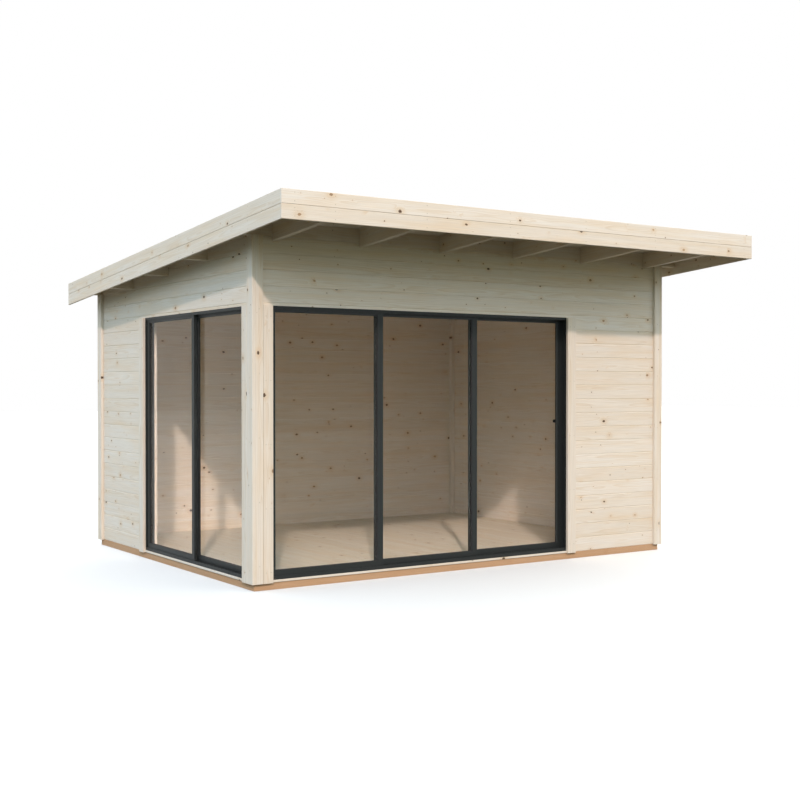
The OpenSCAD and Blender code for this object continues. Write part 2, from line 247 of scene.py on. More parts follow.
@dataclass(frozen=True)
class WoodFinish:
    """Solid softwood, whose rings, streaks and knots run through each board.

    A board's points carry "grain", which is along, across and through the board from its
    middle; "shift", which moves the pattern for each board; and "tone", from 0 to 1. Both
    sorts of knot have how many there may be in a metre each way, their share of knot_size
    and the share of places without one.
    """

    name: str
    light: Colour
    dark: Colour
    knot: Colour
    ring: float = 3.4 * MM
    ring_share: float = 0.5
    streak_share: float = 0.55
    tone_share: float = 0.22
    knot_size: float = 13.5 * MM
    large_knots: tuple[Point, float, float] = ((3.6, 8.3, 0.9), 1.0, 0.5)
    small_knots: tuple[Point, float, float] = ((5.0, 12.0, 1.7), 0.45, 0.58)
    knot_shape: Point = (0.75, 1.1, 0.012)
    ring_waves: float = 26.0 * MM
    roughness: float = 0.62
    relief: float = 0.25 * MM
    fibre_scale: Point = (5.0, 320.0, 320.0)
    streak_scale: Point = (0.9, 24.0, 24.0)
    patch_scale: Point = (1.9, 8.0, 8.0)
    streak_tint: Colour = (0.94, 0.86, 0.73, 1.0)
    warm_tint: Colour = (1.0, 0.93, 0.84, 1.0)
    tone_tint: Colour = (0.88, 0.83, 0.76, 1.0)
    halo_tint: Colour = (0.88, 0.72, 0.52, 1.0)
    red_knot_tint: Colour = (0.78, 0.62, 0.48, 1.0)

    def make(self) -> bpy.types.Material:
        """Return the material."""
        g = Graph(bpy.data.materials.new(self.name))
        local = g.add("Attribute", attribute_name="grain").outputs["Vector"]
        shift = g.add("Attribute", attribute_name="shift").outputs["Vector"]
        tone = g.add("Attribute", attribute_name="tone").outputs["Fac"]
        grain = g.vector("ADD", local, shift)

        knot, halo, dark_knot = self._knots(g, grain)
        late = self._rings(g, grain, halo)
        fibre = g.stretched(grain, self.fibre_scale, 3.0).outputs["Fac"]
        streak = g.stretched(grain, self.streak_scale, 3.0).outputs["Fac"]
        patch = g.stretched(grain, self.patch_scale, 2.0).outputs["Fac"]

        dark_share = g.math("MULTIPLY", late, self.ring_share)
        colour = g.mix(dark_share, self.light, self.dark)
        fibres = g.ramp(fibre, ((0.36, 0.88), (0.64, 1.03)))
        for share, tint in (
                (g.ramp(streak, ((0.42, 0.0), (0.72, self.streak_share))), self.streak_tint),
                (0.6, fibres),
                (g.ramp(patch, ((0.45, 0.0), (0.72, 0.6))), self.warm_tint),
                (g.math("MULTIPLY", tone, self.tone_share * 2.0), self.tone_tint),
                (g.math("MULTIPLY", halo, 0.4), self.halo_tint)):
            colour = g.tint(share, colour, tint)
        in_knot = g.mix(dark_knot, g.tint(1.0, self.dark, self.red_knot_tint), self.knot)
        colour = g.mix(knot, colour, in_knot)

        height = g.math("MULTIPLY_ADD", late, -0.35, fibre)
        height = g.math("MULTIPLY_ADD", knot, -0.4, height)
        rough = g.math("MULTIPLY_ADD", fibre, 0.22, self.roughness - 0.11)
        return g.coated(colour, rough, height, 0.55, self.relief, Specular_IOR_Level=0.2)

    def _knots(self, g: Graph, grain: Socket) -> tuple:
        """Return how far inside a knot a place is, the halo there, and how dark the knot is."""
        wobble = g.noise(grain, 130.0, 1.0).outputs["Fac"]
        large, small = [self._knot_layer(g, grain, wobble, cell, self.knot_size * share, spared)
                        for cell, share, spared in (self.large_knots, self.small_knots)]
        knot = g.math("MAXIMUM", large[0], small[0])
        halo = g.math("MAXIMUM", large[1], g.math("MULTIPLY", small[1], 0.5))
        dark = g.math("MAXIMUM", g.math("MULTIPLY", large[0], large[2]),
                      g.math("MULTIPLY", small[0], small[2]))
        return knot, halo, dark

    def _knot_layer(self, g: Graph, grain: Socket, wobble: Socket,
                    cell: Point, size: float, spared: float) -> tuple:
        """Return one size of knot.

        Args:
            g: The shader graph.
            grain: The place in the board.
            wobble: What makes the outlines uneven.
            cell: How many knots there may be in a metre along, across and through the board.
            size: The radius of the largest knot.
            spared: The share of places without one.

        Returns:
            How far inside a knot it is, the halo round it, and how dark the knot is.
        """
        cells = g.add("TexVoronoi", {"Vector": g.vector("MULTIPLY", grain, cell), "Scale": 1.0,
                                     "Randomness": 0.95})
        middle = g.vector("DIVIDE", cells.outputs["Position"], cell)
        away = g.vector("MULTIPLY", g.vector("SUBTRACT", grain, middle), self.knot_shape)
        chances = g.add("SeparateColor", {0: cells.outputs["Color"]}).outputs
        radius = g.math("MULTIPLY_ADD", chances[0], size / (1.0 - spared),
                        -size * spared / (1.0 - spared))
        radius = g.math("MAXIMUM", radius, 0.0)
        uneven = g.math("MULTIPLY", g.math("SUBTRACT", wobble, 0.5), size * 0.45)
        distance = g.math("ADD", g.vector("LENGTH", away), uneven)
        knot = g.math("MULTIPLY", g.math("SUBTRACT", radius, distance), 1.0 / (1.4 * MM),
                      clamp=True)
        ratio = g.math("DIVIDE", distance, g.math("MULTIPLY_ADD", radius, 2.4, 0.1 * MM))
        bell = g.math("EXPONENT", g.math("MULTIPLY", g.math("MULTIPLY", ratio, ratio), -1.0))
        halo = g.math("MULTIPLY", bell, g.math("MULTIPLY", radius, 1.0 / (7.0 * MM)), clamp=True)
        dark = g.ramp(chances[1], ((0.2, 0.12), (0.65, 0.95)))
        return knot, halo, dark

    def _rings(self, g: Graph, grain: Socket, halo: Socket) -> Socket:
        """Return how dark the year rings are, from 0 to 1."""
        slow = g.stretched(grain, (1.0, 8.0, 8.0), 2.0).outputs["Color"]
        bend = g.vector("MULTIPLY", g.vector("SUBTRACT", slow, (0.5, 0.5, 0.5)),
                        (0.0, self.ring_waves, self.ring_waves))
        place = g.add("SeparateXYZ", {0: g.vector("ADD", grain, bend)})
        across = g.math("POWER", place.outputs["Y"], 2.0)
        deep = g.math("POWER", place.outputs["Z"], 2.0)
        radius = g.math("SQRT", g.math("ADD", across, deep))
        radius = g.math("MULTIPLY_ADD", halo, 9.0 * MM, radius)
        turn = g.math("FRACT", g.math("MULTIPLY", radius, 1.0 / self.ring))
        return g.ramp(turn, ((0.0, 0.0), (0.55, 0.25), (0.88, 1.0), (1.0, 0.05)))


@dataclass(frozen=True)
class CoatedMetal:
    """Matt powder-coated metal with a fine grain."""

    name: str
    colour: Colour
    roughness: float = 0.42
    metallic: float = 0.0
    speck_tint: Colour = (0.80, 0.80, 0.80, 1.0)
    cloud_tint: Colour = (0.86, 0.9, 0.93, 1.0)

    def make(self) -> bpy.types.Material:
        """Return the material."""
        g = Graph(bpy.data.materials.new(self.name))
        place = g.add("TexCoord").outputs["Object"]
        speck = g.noise(place, 900.0, 2.0).outputs["Fac"]
        cloud = g.noise(place, 3.0, 2.0).outputs["Fac"]
        colour = g.tint(g.ramp(speck, ((0.35, 0.0), (0.7, 0.6))), self.colour, self.speck_tint)
        colour = g.tint(g.ramp(cloud, ((0.4, 0.0), (0.7, 0.25))), colour, self.cloud_tint)
        rough = g.math("MULTIPLY_ADD", cloud, 0.14, self.roughness - 0.07)
        return g.coated(colour, rough, speck, 0.25, 0.1 * MM, Metallic=self.metallic,
                        Specular_IOR_Level=0.24)


@dataclass(frozen=True)
class RubberFinish:
    """Black rubber of seals and the plastic of small parts."""

    name: str = "black_rubber"
    dark: Colour = (0.010, 0.010, 0.011, 1.0)
    light: Colour = (0.026, 0.026, 0.027, 1.0)
    roughness: float = 0.68

    def make(self) -> bpy.types.Material:
        """Return the material."""
        g = Graph(bpy.data.materials.new(self.name))
        place = g.add("TexCoord").outputs["Object"]
        mottle = g.noise(place, 240.0, 3.0).outputs["Fac"]
        return g.coated(g.mix(mottle, self.dark, self.light), self.roughness, mottle, 0.2,
                        0.1 * MM)


@dataclass(frozen=True)
class GlassFinish:
    """Clear toughened glass, faintly grey, that lets the lamps through."""

    name: str = "grey_glass"
    colour: Colour = (0.95, 0.955, 0.935, 1.0)
    index: float = 1.14
    smears: float = 0.015
    shadow: Colour = (0.92, 0.94, 0.945, 1.0)

    def make(self) -> bpy.types.Material:
        """Return the material."""
        g = Graph(bpy.data.materials.new(self.name))
        place = g.add("TexCoord").outputs["Object"]
        smear = g.noise(place, 4.0, 3.0).outputs["Fac"]
        rough = g.math("MULTIPLY", g.ramp(smear, ((0.5, 0.0), (0.8, 1.0))), self.smears)
        pane = g.add("BsdfPrincipled", {"Base Color": self.colour, "Roughness": rough,
                                        "IOR": self.index, "Transmission Weight": 1.0})
        clear = g.add("BsdfTransparent", {"Color": self.shadow})
        path = g.add("LightPath").outputs["Is Shadow Ray"]
        mixed = g.add("MixShader", {0: path, 1: pane.outputs[0], 2: clear.outputs[0]})
        return g.surface(mixed.outputs[0])


@dataclass(frozen=True)
class FeltFinish:
    """Roofing felt with mineral grains."""

    name: str = "roof_felt"
    dark: Colour = (0.026, 0.027, 0.029, 1.0)
    light: Colour = (0.10, 0.102, 0.106, 1.0)
    worn: Colour = (0.7, 0.72, 0.7, 1.0)
    grains: float = 420.0

    def make(self) -> bpy.types.Material:
        """Return the material."""
        g = Graph(bpy.data.materials.new(self.name))
        place = g.add("TexCoord").outputs["Object"]
        grains = g.add("TexVoronoi", {"Vector": place, "Scale": self.grains})
        chance = g.add("SeparateColor", {0: grains.outputs["Color"]}).outputs[0]
        broad = g.noise(place, 2.2, 4.0).outputs["Fac"]
        colour = g.tint(g.ramp(broad, ((0.35, 0.0), (0.7, 0.6))),
                        g.mix(chance, self.dark, self.light), self.worn)
        height = g.math("MULTIPLY", grains.outputs["Distance"], -1.0)
        return g.coated(colour, 0.9, height, 0.7, 0.8 * MM, Specular_IOR_Level=0.25)


@dataclass(frozen=True)
class FloorFinish:
    """The plain pale floor under the object, which throws little light back up at it."""

    name: str = "pale_floor"
    colour: Colour = (0.86, 0.865, 0.87, 1.0)
    glow: float = 0.10
    bounce: Colour = (0.075, 0.07, 0.05, 1.0)

    def make(self) -> bpy.types.Material:
        """Return the material."""
        g = Graph(bpy.data.materials.new(self.name))
        seen = g.add("BsdfDiffuse", {"Color": self.colour})
        glow = g.add("Emission", {"Color": rgb(1.0, 1.0, 1.0), "Strength": self.glow})
        pale = g.add("AddShader", {0: seen.outputs[0], 1: glow.outputs[0]})
        dim = g.add("BsdfDiffuse", {"Color": self.bounce})
        mixed = g.add("MixShader", {0: g.seen(), 1: dim.outputs[0], 2: pale.outputs[0]})
        return g.surface(mixed.outputs[0])


SPRUCE = WoodFinish("planed_spruce", light=rgb(0.855, 0.80, 0.725), dark=rgb(0.73, 0.62, 0.48),
                    knot=rgb(0.10, 0.06, 0.038))
TREATED = WoodFinish("sawn_treated_timber", light=rgb(0.62, 0.40, 0.245),
                     dark=rgb(0.36, 0.20, 0.11), knot=rgb(0.12, 0.065, 0.04), tone_share=0.12,
                     roughness=0.8, relief=0.8 * MM)
FLOORING = WoodFinish("planed_floor_spruce", light=rgb(0.745, 0.71, 0.615),
                      dark=rgb(0.60, 0.52, 0.39), knot=rgb(0.13, 0.075, 0.045), roughness=0.55)
COATING = CoatedMetal("anthracite_coating", rgb(0.021, 0.025, 0.0245), roughness=0.5)
STEEL = CoatedMetal("screw_steel", rgb(0.55, 0.49, 0.38), roughness=0.38, metallic=1.0)
RUBBER = RubberFinish()
GLAZING = GlassFinish()
FELT = FeltFinish()
PALE = FloorFinish()

Finish = WoodFinish | CoatedMetal | RubberFinish | GlassFinish | FeltFinish | FloorFinish
_made: dict[str, bpy.types.Material] = {}


def material(finish: Finish) -> bpy.types.Material:
    """Return the finish's material, which is made the first time it is asked for."""
    if finish.name not in _made:
        _made[finish.name] = finish.make()
    return _made[finish.name]


# ---------------------------------------------------------------------------
# Meshes
# ---------------------------------------------------------------------------


def linked(name: str, data: bpy.types.ID) -> bpy.types.Object:
    """Return a new object of the scene with the given data."""
    thing = bpy.data.objects.new(name, data)
    bpy.context.scene.collection.objects.link(thing)
    return thing


def spot(axes: Sequence[int], values: Sequence[float]) -> Point:
    """Return the point that has the given values on the given axes."""
    point = [0.0, 0.0, 0.0]
    for axis, value in zip(axes, values):
        point[axis] = value
    return tuple(point)


def spread(low: float, high: float, end: float, count: int) -> list[float]:
    """Return evenly spaced places, of which the outermost are end inside low and high."""
    return [low + end + i * (high - low - 2.0 * end) / (count - 1) for i in range(count)]


def levels(first: float, start: float, stop: float, cover: float) -> list[float]:
    """Return the first joint, then one each cover from start on, as long as below stop."""
    joints, level = [first], start
    while level < stop:
        joints.append(level)
        level += cover
    return joints


class Shell:
    """A mesh in the making, out of closed rings of points."""

    def __init__(self) -> None:
        """Start with no points."""
        self.points: list[Point] = []
        self.faces: list[tuple[int, ...]] = []

    def rings(self, rings: Sequence[Sequence[Point]], closed: bool = False) -> None:
        """Join rings that all have the same number of points.

        Args:
            rings: The rings, in order.
            closed: Whether the last ring joins the first, as on a hoop; else both ends
                are capped.
        """
        start, count = len(self.points), len(rings[0])
        for ring in rings:
            self.points.extend(ring)
        pairs = len(rings) if closed else len(rings) - 1
        for i in range(pairs):
            a, b = start + i * count, start + (i + 1) % len(rings) * count
            for j in range(count):
                k = (j + 1) % count
                self.faces.append((a + j, a + k, b + k, b + j))
        if not closed:
            last = start + (len(rings) - 1) * count
            self.faces.append(tuple(range(start + count - 1, start - 1, -1)))
            self.faces.append(tuple(range(last, last + count)))

    def object(self, name: str, finish: Finish) -> bpy.types.Object:
        """Return the mesh as an object, with every face turned outwards.

        Args:
            name: The piece's name.
            finish: Its finish.

        Returns:
            The new object, at the origin.
        """
        mesh = bpy.data.meshes.new(name)
        mesh.from_pydata(self.points, [], self.faces)
        self._attributes(mesh)
        work = bmesh.new()
        work.from_mesh(mesh)
        bmesh.ops.dissolve_degenerate(work, dist=0.01 * MM, edges=work.edges)
        bmesh.ops.recalc_face_normals(work, faces=work.faces)
        work.to_mesh(mesh)
        work.free()
        mesh.materials.append(material(finish))
        return linked(name, mesh)

    def _attributes(self, mesh: bpy.types.Mesh) -> None:
        """Write what each point carries; a plain shell's points carry nothing."""


class Timber(Shell):
    """A shell made of boards, whose points know their grain."""

    def __init__(self, seed: int) -> None:
        """Start with no boards.

        Args:
            seed: The seed for the boards' grain and tone.
        """
        super().__init__()
        self.rng = random.Random(seed)
        self.grain: list[Point] = []
        self.shift: list[Point] = []
        self.tone: list[float] = []

    def board(self, rings: Sequence[Sequence[Point]], along: int, across: int,
              bend: Bend | None = None) -> None:
        """Add one board.

        Args:
            rings: Its rings of points.
            along: The axis that its grain follows: 0, 1 or 2.
            across: The axis across its face.
            bend: What moves its points into place, once its grain is known.
        """
        every = [p for ring in rings for p in ring]
        deep = 3 - along - across
        middle = [(min(p[i] for p in every) + max(p[i] for p in every)) / 2 for i in range(3)]
        side = self.rng.choice((-1.0, 1.0))
        shift = (self.rng.uniform(0.0, 40.0), self.rng.uniform(-0.06, 0.06),
                 side * self.rng.uniform(0.035, 0.14))
        tone = self.rng.random()
        for p in every:
            self.grain.append((p[along], p[across] - middle[across], p[deep] - middle[deep]))
            self.shift.append(shift)
            self.tone.append(tone)
        moved = [[bend(p) for p in ring] for ring in rings] if bend else rings
        self.rings(moved)

    def member(self, low: Point, high: Point, along: int, edge: float = 2.0 * MM,
               steps: int = 2, bend: Bend | None = None, end: float = 0.8 * MM) -> None:
        """Add a straight board or post with rounded edges.

        Args:
            low: Its lowest corner.
            high: Its highest corner.
            along: The axis that it runs along.
            edge: The radius of its edges.
            steps: How many faces round each edge.
            bend: What moves its points into place.
            end: The chamfer round its two ends.
        """
        a, b = [i for i in range(3) if i != along]
        if high[a] - low[a] < high[b] - low[b]:
            a, b = b, a
        rings = []
        for at, inset in ((low[along], end), (low[along] + end, 0.0),
                          (high[along] - end, 0.0), (high[along], end)):
            section = rounded_rectangle((low[a] + inset, low[b] + inset),
                                        (high[a] - inset, high[b] - inset), edge, steps)
            rings.append([spot((along, a, b), (at, u, v)) for u, v in section])
        self.board(rings, along, a, bend)

    def _attributes(self, mesh: bpy.types.Mesh) -> None:
        """Write the grain, the shift and the tone of every point."""
        for name, values in (("grain", self.grain), ("shift", self.shift)):
            layer = mesh.attributes.new(name, "FLOAT_VECTOR", "POINT")
            layer.data.foreach_set("vector", [x for value in values for x in value])
        layer = mesh.attributes.new("tone", "FLOAT", "POINT")
        layer.data.foreach_set("value", self.tone)


def rounded_rectangle(low: Pair, high: Pair, radius: float, steps: int) -> list[Pair]:
    """Return the outline of a rectangle with round corners, anticlockwise.

    Args:
        low: Its lower left corner.
        high: Its upper right corner.
        radius: The radius of its corners.
        steps: How many sides each corner has.

    Returns:
        Its points.
    """
    points = []
    for turn, (x, y) in enumerate(((high[0], high[1]), (low[0], high[1]), (low[0], low[1]),
                                   (high[0], low[1]))):
        cx = x - radius if x == high[0] else x + radius
        cy = y - radius if y == high[1] else y + radius
        for i in range(steps + 1):
            angle = (turn + i / steps) * math.pi / 2
            points.append((cx + radius * math.cos(angle), cy + radius * math.sin(angle)))
    return points


@dataclass(frozen=True)
class Cell:
    """A stretch of a region from u0 to u1, between a lower and an upper straight edge."""

    u0: float
    u1: float
    low0: float
    low1: float
    high0: float
    high1: float

    def at(self, u: float) -> Pair:
        """Return the lower and upper edge at u."""
        t = (u - self.u0) / (self.u1 - self.u0)
        return (self.low0 + t * (self.low1 - self.low0),
                self.high0 + t * (self.high1 - self.high0))

    def cut(self, low: float, high: float) -> list["Cell"]:
        """Return what lies between two levels, in pieces with straight edges."""
        places = {self.u0, self.u1}
        for start, end in ((self.low0, self.low1), (self.high0, self.high1)):
            for level in (low, high):
                if (start - level) * (end - level) < 0:
                    places.add(self.u0 + (level - start) / (end - start) * (self.u1 - self.u0))
        ordered, parts = sorted(places), []
        for a, b in zip(ordered, ordered[1:]):
            edges = [tuple(min(max(v, low), high) for v in self.at(u)) for u in (a, b)]
            tallest = max(top - bottom for bottom, top in edges)
            if tallest > 1.0 * MM and b - a > 0.1 * MM:
                parts.append(Cell(a, b, edges[0][0], edges[1][0], edges[0][1], edges[1][1]))
        return parts


def strips(cells: Sequence[Cell], joints: Sequence[float]) -> list[tuple[list[Cell], Pair]]:
    """Cut a region into boards that run along u.

    Args:
        cells: The region.
        joints: The levels of the joints, the region's lowest and highest included.

    Returns:
        For each board, its cells from end to end, and the levels of its two joints.
    """
    boards = []
    for low, high in zip(joints, joints[1:]):
        parts = sorted((part for cell in cells for part in cell.cut(low, high)),
                       key=lambda part: part.u0)
        run: list[Cell] = []
        for part in parts:
            if run and part.u0 - run[-1].u1 > 0.1 * MM:
                boards.append((run, (low, high)))
                run = []
            run.append(part)
        if run:
            boards.append((run, (low, high)))
    return boards


def outline(run: Sequence[Cell], joint: Pair, inset: float) -> list[Pair]:
    """Return a board's outline, set back by inset at its two joints.

    Args:
        run: The board's cells.
        joint: The levels of its lower and upper joint.
        inset: How far the edges at the joints are set back.

    Returns:
        The points, anticlockwise.
    """
    lower, upper = [], []
    for cell in run:
        lower += [(cell.u0, cell.low0, cell.high0), (cell.u1, cell.low1, cell.high1)]
    for cell in reversed(run):
        upper += [(cell.u1, cell.high1, cell.low1), (cell.u0, cell.high0, cell.low0)]
    points, plain = [], []
    for u, level, other in lower + upper:
        moved = level
        if abs(level - joint[0]) < 0.01 * MM:
            moved = min(level + inset, (level + other) / 2)
        elif abs(level - joint[1]) < 0.01 * MM:
            moved = max(level - inset, (level + other) / 2)
        if plain and abs(plain[-1][0] - u) + abs(plain[-1][1] - level) < 0.02 * MM:
            continue
        plain.append((u, level))
        points.append((u, moved))
    if abs(plain[0][0] - plain[-1][0]) + abs(plain[0][1] - plain[-1][1]) < 0.02 * MM:
        points.pop()
    return points


def planking(timber: Timber, cells: Sequence[Cell], joints: Sequence[float], depths: Pair,
             axes: tuple[int, int, int], groove: float, back_groove: float,
             bend: Bend | None = None) -> None:
    """Cover a region with boards that meet in V joints.

    Args:
        timber: The timber that the boards join.
        cells: The region.
        joints: The levels of the joints.
        depths: The boards' near and far face.
        axes: Which axes are along the boards, across them and through them.
        groove: The depth of the V joints in the near face.
        back_groove: The depth of those in the far face.
        bend: What moves the points into place.
    """
    near, far = depths
    way = math.copysign(1.0, far - near)
    for run, joint in strips(cells, joints):
        rings = []
        for depth, inset in ((near, groove), (near + way * groove, 0.0),
                             (far - way * back_groove, 0.0), (far, back_groove)):
            rings.append([spot(axes, (u, v, depth)) for u, v in outline(run, joint, inset)])
        timber.board(rings, axes[0], axes[1], bend)


# ---------------------------------------------------------------------------
# Geometry Nodes
# ---------------------------------------------------------------------------


class Tree(NodeMaker):
    """Builds a Geometry Nodes tree and runs it on objects."""

    prefix = "GeometryNode"

    def __init__(self, name: str, **kinds: str) -> None:
        """Start a tree.

        Args:
            name: Its name.
            **kinds: The socket type of each input after the geometry.
        """
        super().__init__(bpy.data.node_groups.new(name, "GeometryNodeTree"))
        face = self.tree.interface
        face.new_socket("Geometry", in_out="INPUT", socket_type="NodeSocketGeometry")
        self.sockets = {label: face.new_socket(label, in_out="INPUT",
                                               socket_type="NodeSocket" + kind)
                        for label, kind in kinds.items()}
        face.new_socket("Geometry", in_out="OUTPUT", socket_type="NodeSocketGeometry")
        self.given = self.tree.nodes.new("NodeGroupInput").outputs
        self.sink = self.tree.nodes.new("NodeGroupOutput")

    def chance(self, low: object = 0.0, high: object = 1.0) -> Socket:
        """Return a random number or vector between two of them, from the tree's seed."""
        vector = isinstance(low, tuple)
        first = 0 if vector else 2
        node = self.add("FunctionNodeRandomValue",
                        {first: low, first + 1: high, "Seed": self.given["Seed"]},
                        data_type="FLOAT_VECTOR" if vector else "FLOAT")
        return node.outputs[0 if vector else 1]

    def end(self, geometry: Socket) -> None:
        """End the tree: real meshes out of the instances, then their material."""
        real = self.add("RealizeInstances", {"Geometry": geometry})
        dressed = self.add("SetMaterial", {"Geometry": real.outputs[0],
                                           "Material": self.given["Material"]})
        self.tree.links.new(dressed.outputs[0], self.sink.inputs[0])

    def run(self, host: bpy.types.Object, name: str, **values: object) -> bpy.types.Object:
        """Run the tree on an object and return its result as a plain mesh object.

        Args:
            host: The object that holds the input geometry. It is removed.
            name: The new object's name.
            **values: A value for each input.

        Returns:
            The new object.
        """
        modifier = host.modifiers.new(name, "NODES")
        modifier.node_group = self.tree
        for label, value in values.items():
            modifier[self.sockets[label].identifier] = value
        bpy.context.view_layer.update()
        graph = bpy.context.evaluated_depsgraph_get()
        mesh = bpy.data.meshes.new_from_object(host.evaluated_get(graph),
                                               preserve_all_data_layers=True, depsgraph=graph)
        host.modifiers.clear()
        bpy.data.objects.remove(host)
        mesh.name = name
        return linked(name, mesh)


class Repeater(Tree):
    """Repeats one board at an even pitch, and gives each copy its own grain."""

    def __init__(self) -> None:
        """Build the tree."""
        super().__init__("repeated_boards", Count="Int", Pitch="Vector", Seed="Int",
                         Material="Material")
        line = self.add("MeshLine", {"Count": self.given["Count"],
                                     "Offset": self.given["Pitch"]}, mode="OFFSET")
        copies = self.add("InstanceOnPoints", {"Points": line.outputs[0],
                                               "Instance": self.given["Geometry"]}).outputs[0]
        for name, value, kind in (
                ("shift", self.chance((0.0, -0.06, 0.035), (40.0, 0.06, 0.14)), "FLOAT_VECTOR"),
                ("tone", self.chance(), "FLOAT")):
            stored = self.add("StoreNamedAttribute", {"Geometry": copies, "Name": name,
                                                      "Value": value},
                              data_type=kind, domain="INSTANCE")
            copies = stored.outputs[0]
        self.end(copies)


class ScrewDriver(Tree):
    """Puts a screw head on each point, facing the way that its "aim" says."""

    def __init__(self) -> None:
        """Build the tree."""
        super().__init__("screw_heads", Radius="Float", Height="Float", Seed="Int",
                         Material="Material")
        blank = self.add("MeshCylinder", {"Vertices": 12, "Radius": self.given["Radius"],
                                          "Depth": self.given["Height"]})
        head, top = blank.outputs["Mesh"], blank.outputs["Top"]
        # A rim, the mouth of the socket and the socket's floor
        for lift, size in ((0.35, 0.82), (0.0, 0.5), (-0.8, 0.85)):
            head, top = self._push(head, top, lift, size)
        aim = self.add("InputNamedAttribute", {"Name": "aim"}, data_type="FLOAT_VECTOR")
        turned = self.add("FunctionNodeAlignRotationToVector", {"Vector": aim.outputs[0]},
                          axis="Z")
        spin = self.add("FunctionNodeAxisAngleToRotation", {"Axis": (0.0, 0.0, 1.0),
                                                            "Angle": self.chance()})
        rotation = self.add("FunctionNodeRotateRotation", {0: turned.outputs[0],
                                                           1: spin.outputs[0]},
                            rotation_space="LOCAL")
        heads = self.add("InstanceOnPoints", {"Points": self.given["Geometry"],
                                              "Instance": head,
                                              "Rotation": rotation.outputs[0]})
        self.end(heads.outputs[0])

    def _push(self, mesh: Socket, top: Socket, lift: float, size: float) -> tuple:
        """Extrude the top by a share of the height, then scale it.

        Args:
            mesh: The mesh so far.
            top: What selects its top.
            lift: The share of the height.
            size: The new top's share of the old one.

        Returns:
            The mesh and what selects the new top.
        """
        step = self.add("ShaderNodeMath", {0: self.given["Height"], 1: lift},
                        operation="MULTIPLY")
        pushed = self.add("ExtrudeMesh", {"Mesh": mesh, "Selection": top,
                                          "Offset Scale": step.outputs[0]}).outputs
        scaled = self.add("ScaleElements", {"Geometry": pushed["Mesh"],
                                            "Selection": pushed["Top"], "Scale": size})
        held = self.add("CaptureAttribute")
        held.capture_items.new("BOOLEAN", "Top")
        held.domain = "FACE"
        self.feed(held.inputs[0], scaled.outputs[0])
        self.feed(held.inputs[1], pushed["Top"])
        return held.outputs[0], held.outputs[1]


def points_object(name: str, places: Sequence[Screw]) -> bpy.types.Object:
    """Return an object whose vertices carry the way that each screw faces.

    Args:
        name: The object's name.
        places: Pairs of a place and an outward direction.

    Returns:
        The new object.
    """
    mesh = bpy.data.meshes.new(name)
    mesh.from_pydata([place for place, _ in places], [], [])
    layer = mesh.attributes.new("aim", "FLOAT_VECTOR", "POINT")
    layer.data.foreach_set("vector", [x for _, aim in places for x in aim])
    return linked(name, mesh)


# ---------------------------------------------------------------------------
# The building
# ---------------------------------------------------------------------------

RAFTER_H = 140.0 * MM
LOOKOUT_H = 164.0 * MM
END_LOOKOUT_H = 107.0 * MM


def settle(piece: bpy.types.Object, slot: str, *nodes: str, body: str = "building") -> None:
    """Attach a finished piece to its body, hide the nodes that it stands for and log it.

    Args:
        piece: The piece.
        slot: The record's material slot; not used.
        *nodes: The nodes that it replaces.
        body: The body that it rides on.
    """
    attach(piece, body)
    if nodes:
        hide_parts(*nodes)
    log.info("%s: %d faces on %s", piece.name, len(piece.data.polygons), body)


@dataclass
class Roofline:
    """The slope of the roof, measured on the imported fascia, and the levels under it."""

    front: float = field(init=False)
    back: float = field(init=False)
    top: float = field(init=False)
    fall: float = field(init=False)
    felt_drop: float = field(init=False)
    boards_low: float = field(init=False)

    def __post_init__(self) -> None:
        """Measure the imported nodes."""
        front_low, front_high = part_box("fascia_front")
        back_low, back_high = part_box("fascia_back")
        self.front, self.top, self.back = front_low.y, front_high.z, back_high.y
        self.fall = (front_high.z - back_high.z) / (back_low.y - front_low.y)
        deck_low, deck_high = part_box("roof_boards")
        self.felt_drop = self.top_at(deck_low.y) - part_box("roof_felt")[1].z
        self.boards_low = self.top_at(deck_high.y) - deck_low.z

    def top_at(self, y: float) -> float:
        """Return the height of the fascia's top edge at y."""
        return self.top - (y - self.front) * self.fall

    def under_boards(self, y: float) -> float:
        """Return the height of the underside of the roof boards at y."""
        return self.top_at(y) - self.boards_low

    def bend(self, p: Point) -> Point:
        """Move a point that was drawn under a level roof to its place under the slope."""
        return (p[0], p[1], p[2] - (p[1] - self.front) * self.fall)


@dataclass
class Foundation:
    """Brown treated beams and joists that the room stands on."""

    edge: float = 2.5 * MM
    sides: tuple[str, ...] = ("front", "back", "left", "right")
    joist_count: int = 5
    joist_width: float = 45.0 * MM

    def build(self, repeater: Repeater) -> None:
        """Make the beams and the joists.

        Args:
            repeater: The tree that repeats a joist.
        """
        for seed, side in enumerate(self.sides):
            low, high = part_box("foundation_" + side)
            timber = Timber(11 + seed)
            timber.member(tuple(low), tuple(high), 0 if side in ("front", "back") else 1,
                          self.edge)
            beam = timber.object("beam_" + side, TREATED)
            settle(beam, "treated_wood", "foundation_" + side)
        low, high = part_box("floor_joists")
        pitch = (high.x - low.x - self.joist_width) / (self.joist_count - 1)
        joist = one_board(tuple(low), (low.x + self.joist_width, high.y, high.z), 1, self.edge)
        joists = repeater.run(joist, "joists", Count=self.joist_count,
                              Pitch=(pitch, 0.0, 0.0), Seed=5, Material=material(TREATED))
        settle(joists, "treated_wood", "floor_joists")


def one_board(low: Point, high: Point, along: int, edge: float) -> bpy.types.Object:
    """Return a single board that carries only its own grain, for a tree to repeat."""
    timber = Timber(0)
    timber.member(low, high, along, edge)
    board = timber.object("one_board", SPRUCE)
    for name in ("shift", "tone"):
        board.data.attributes.remove(board.data.attributes[name])
    return board


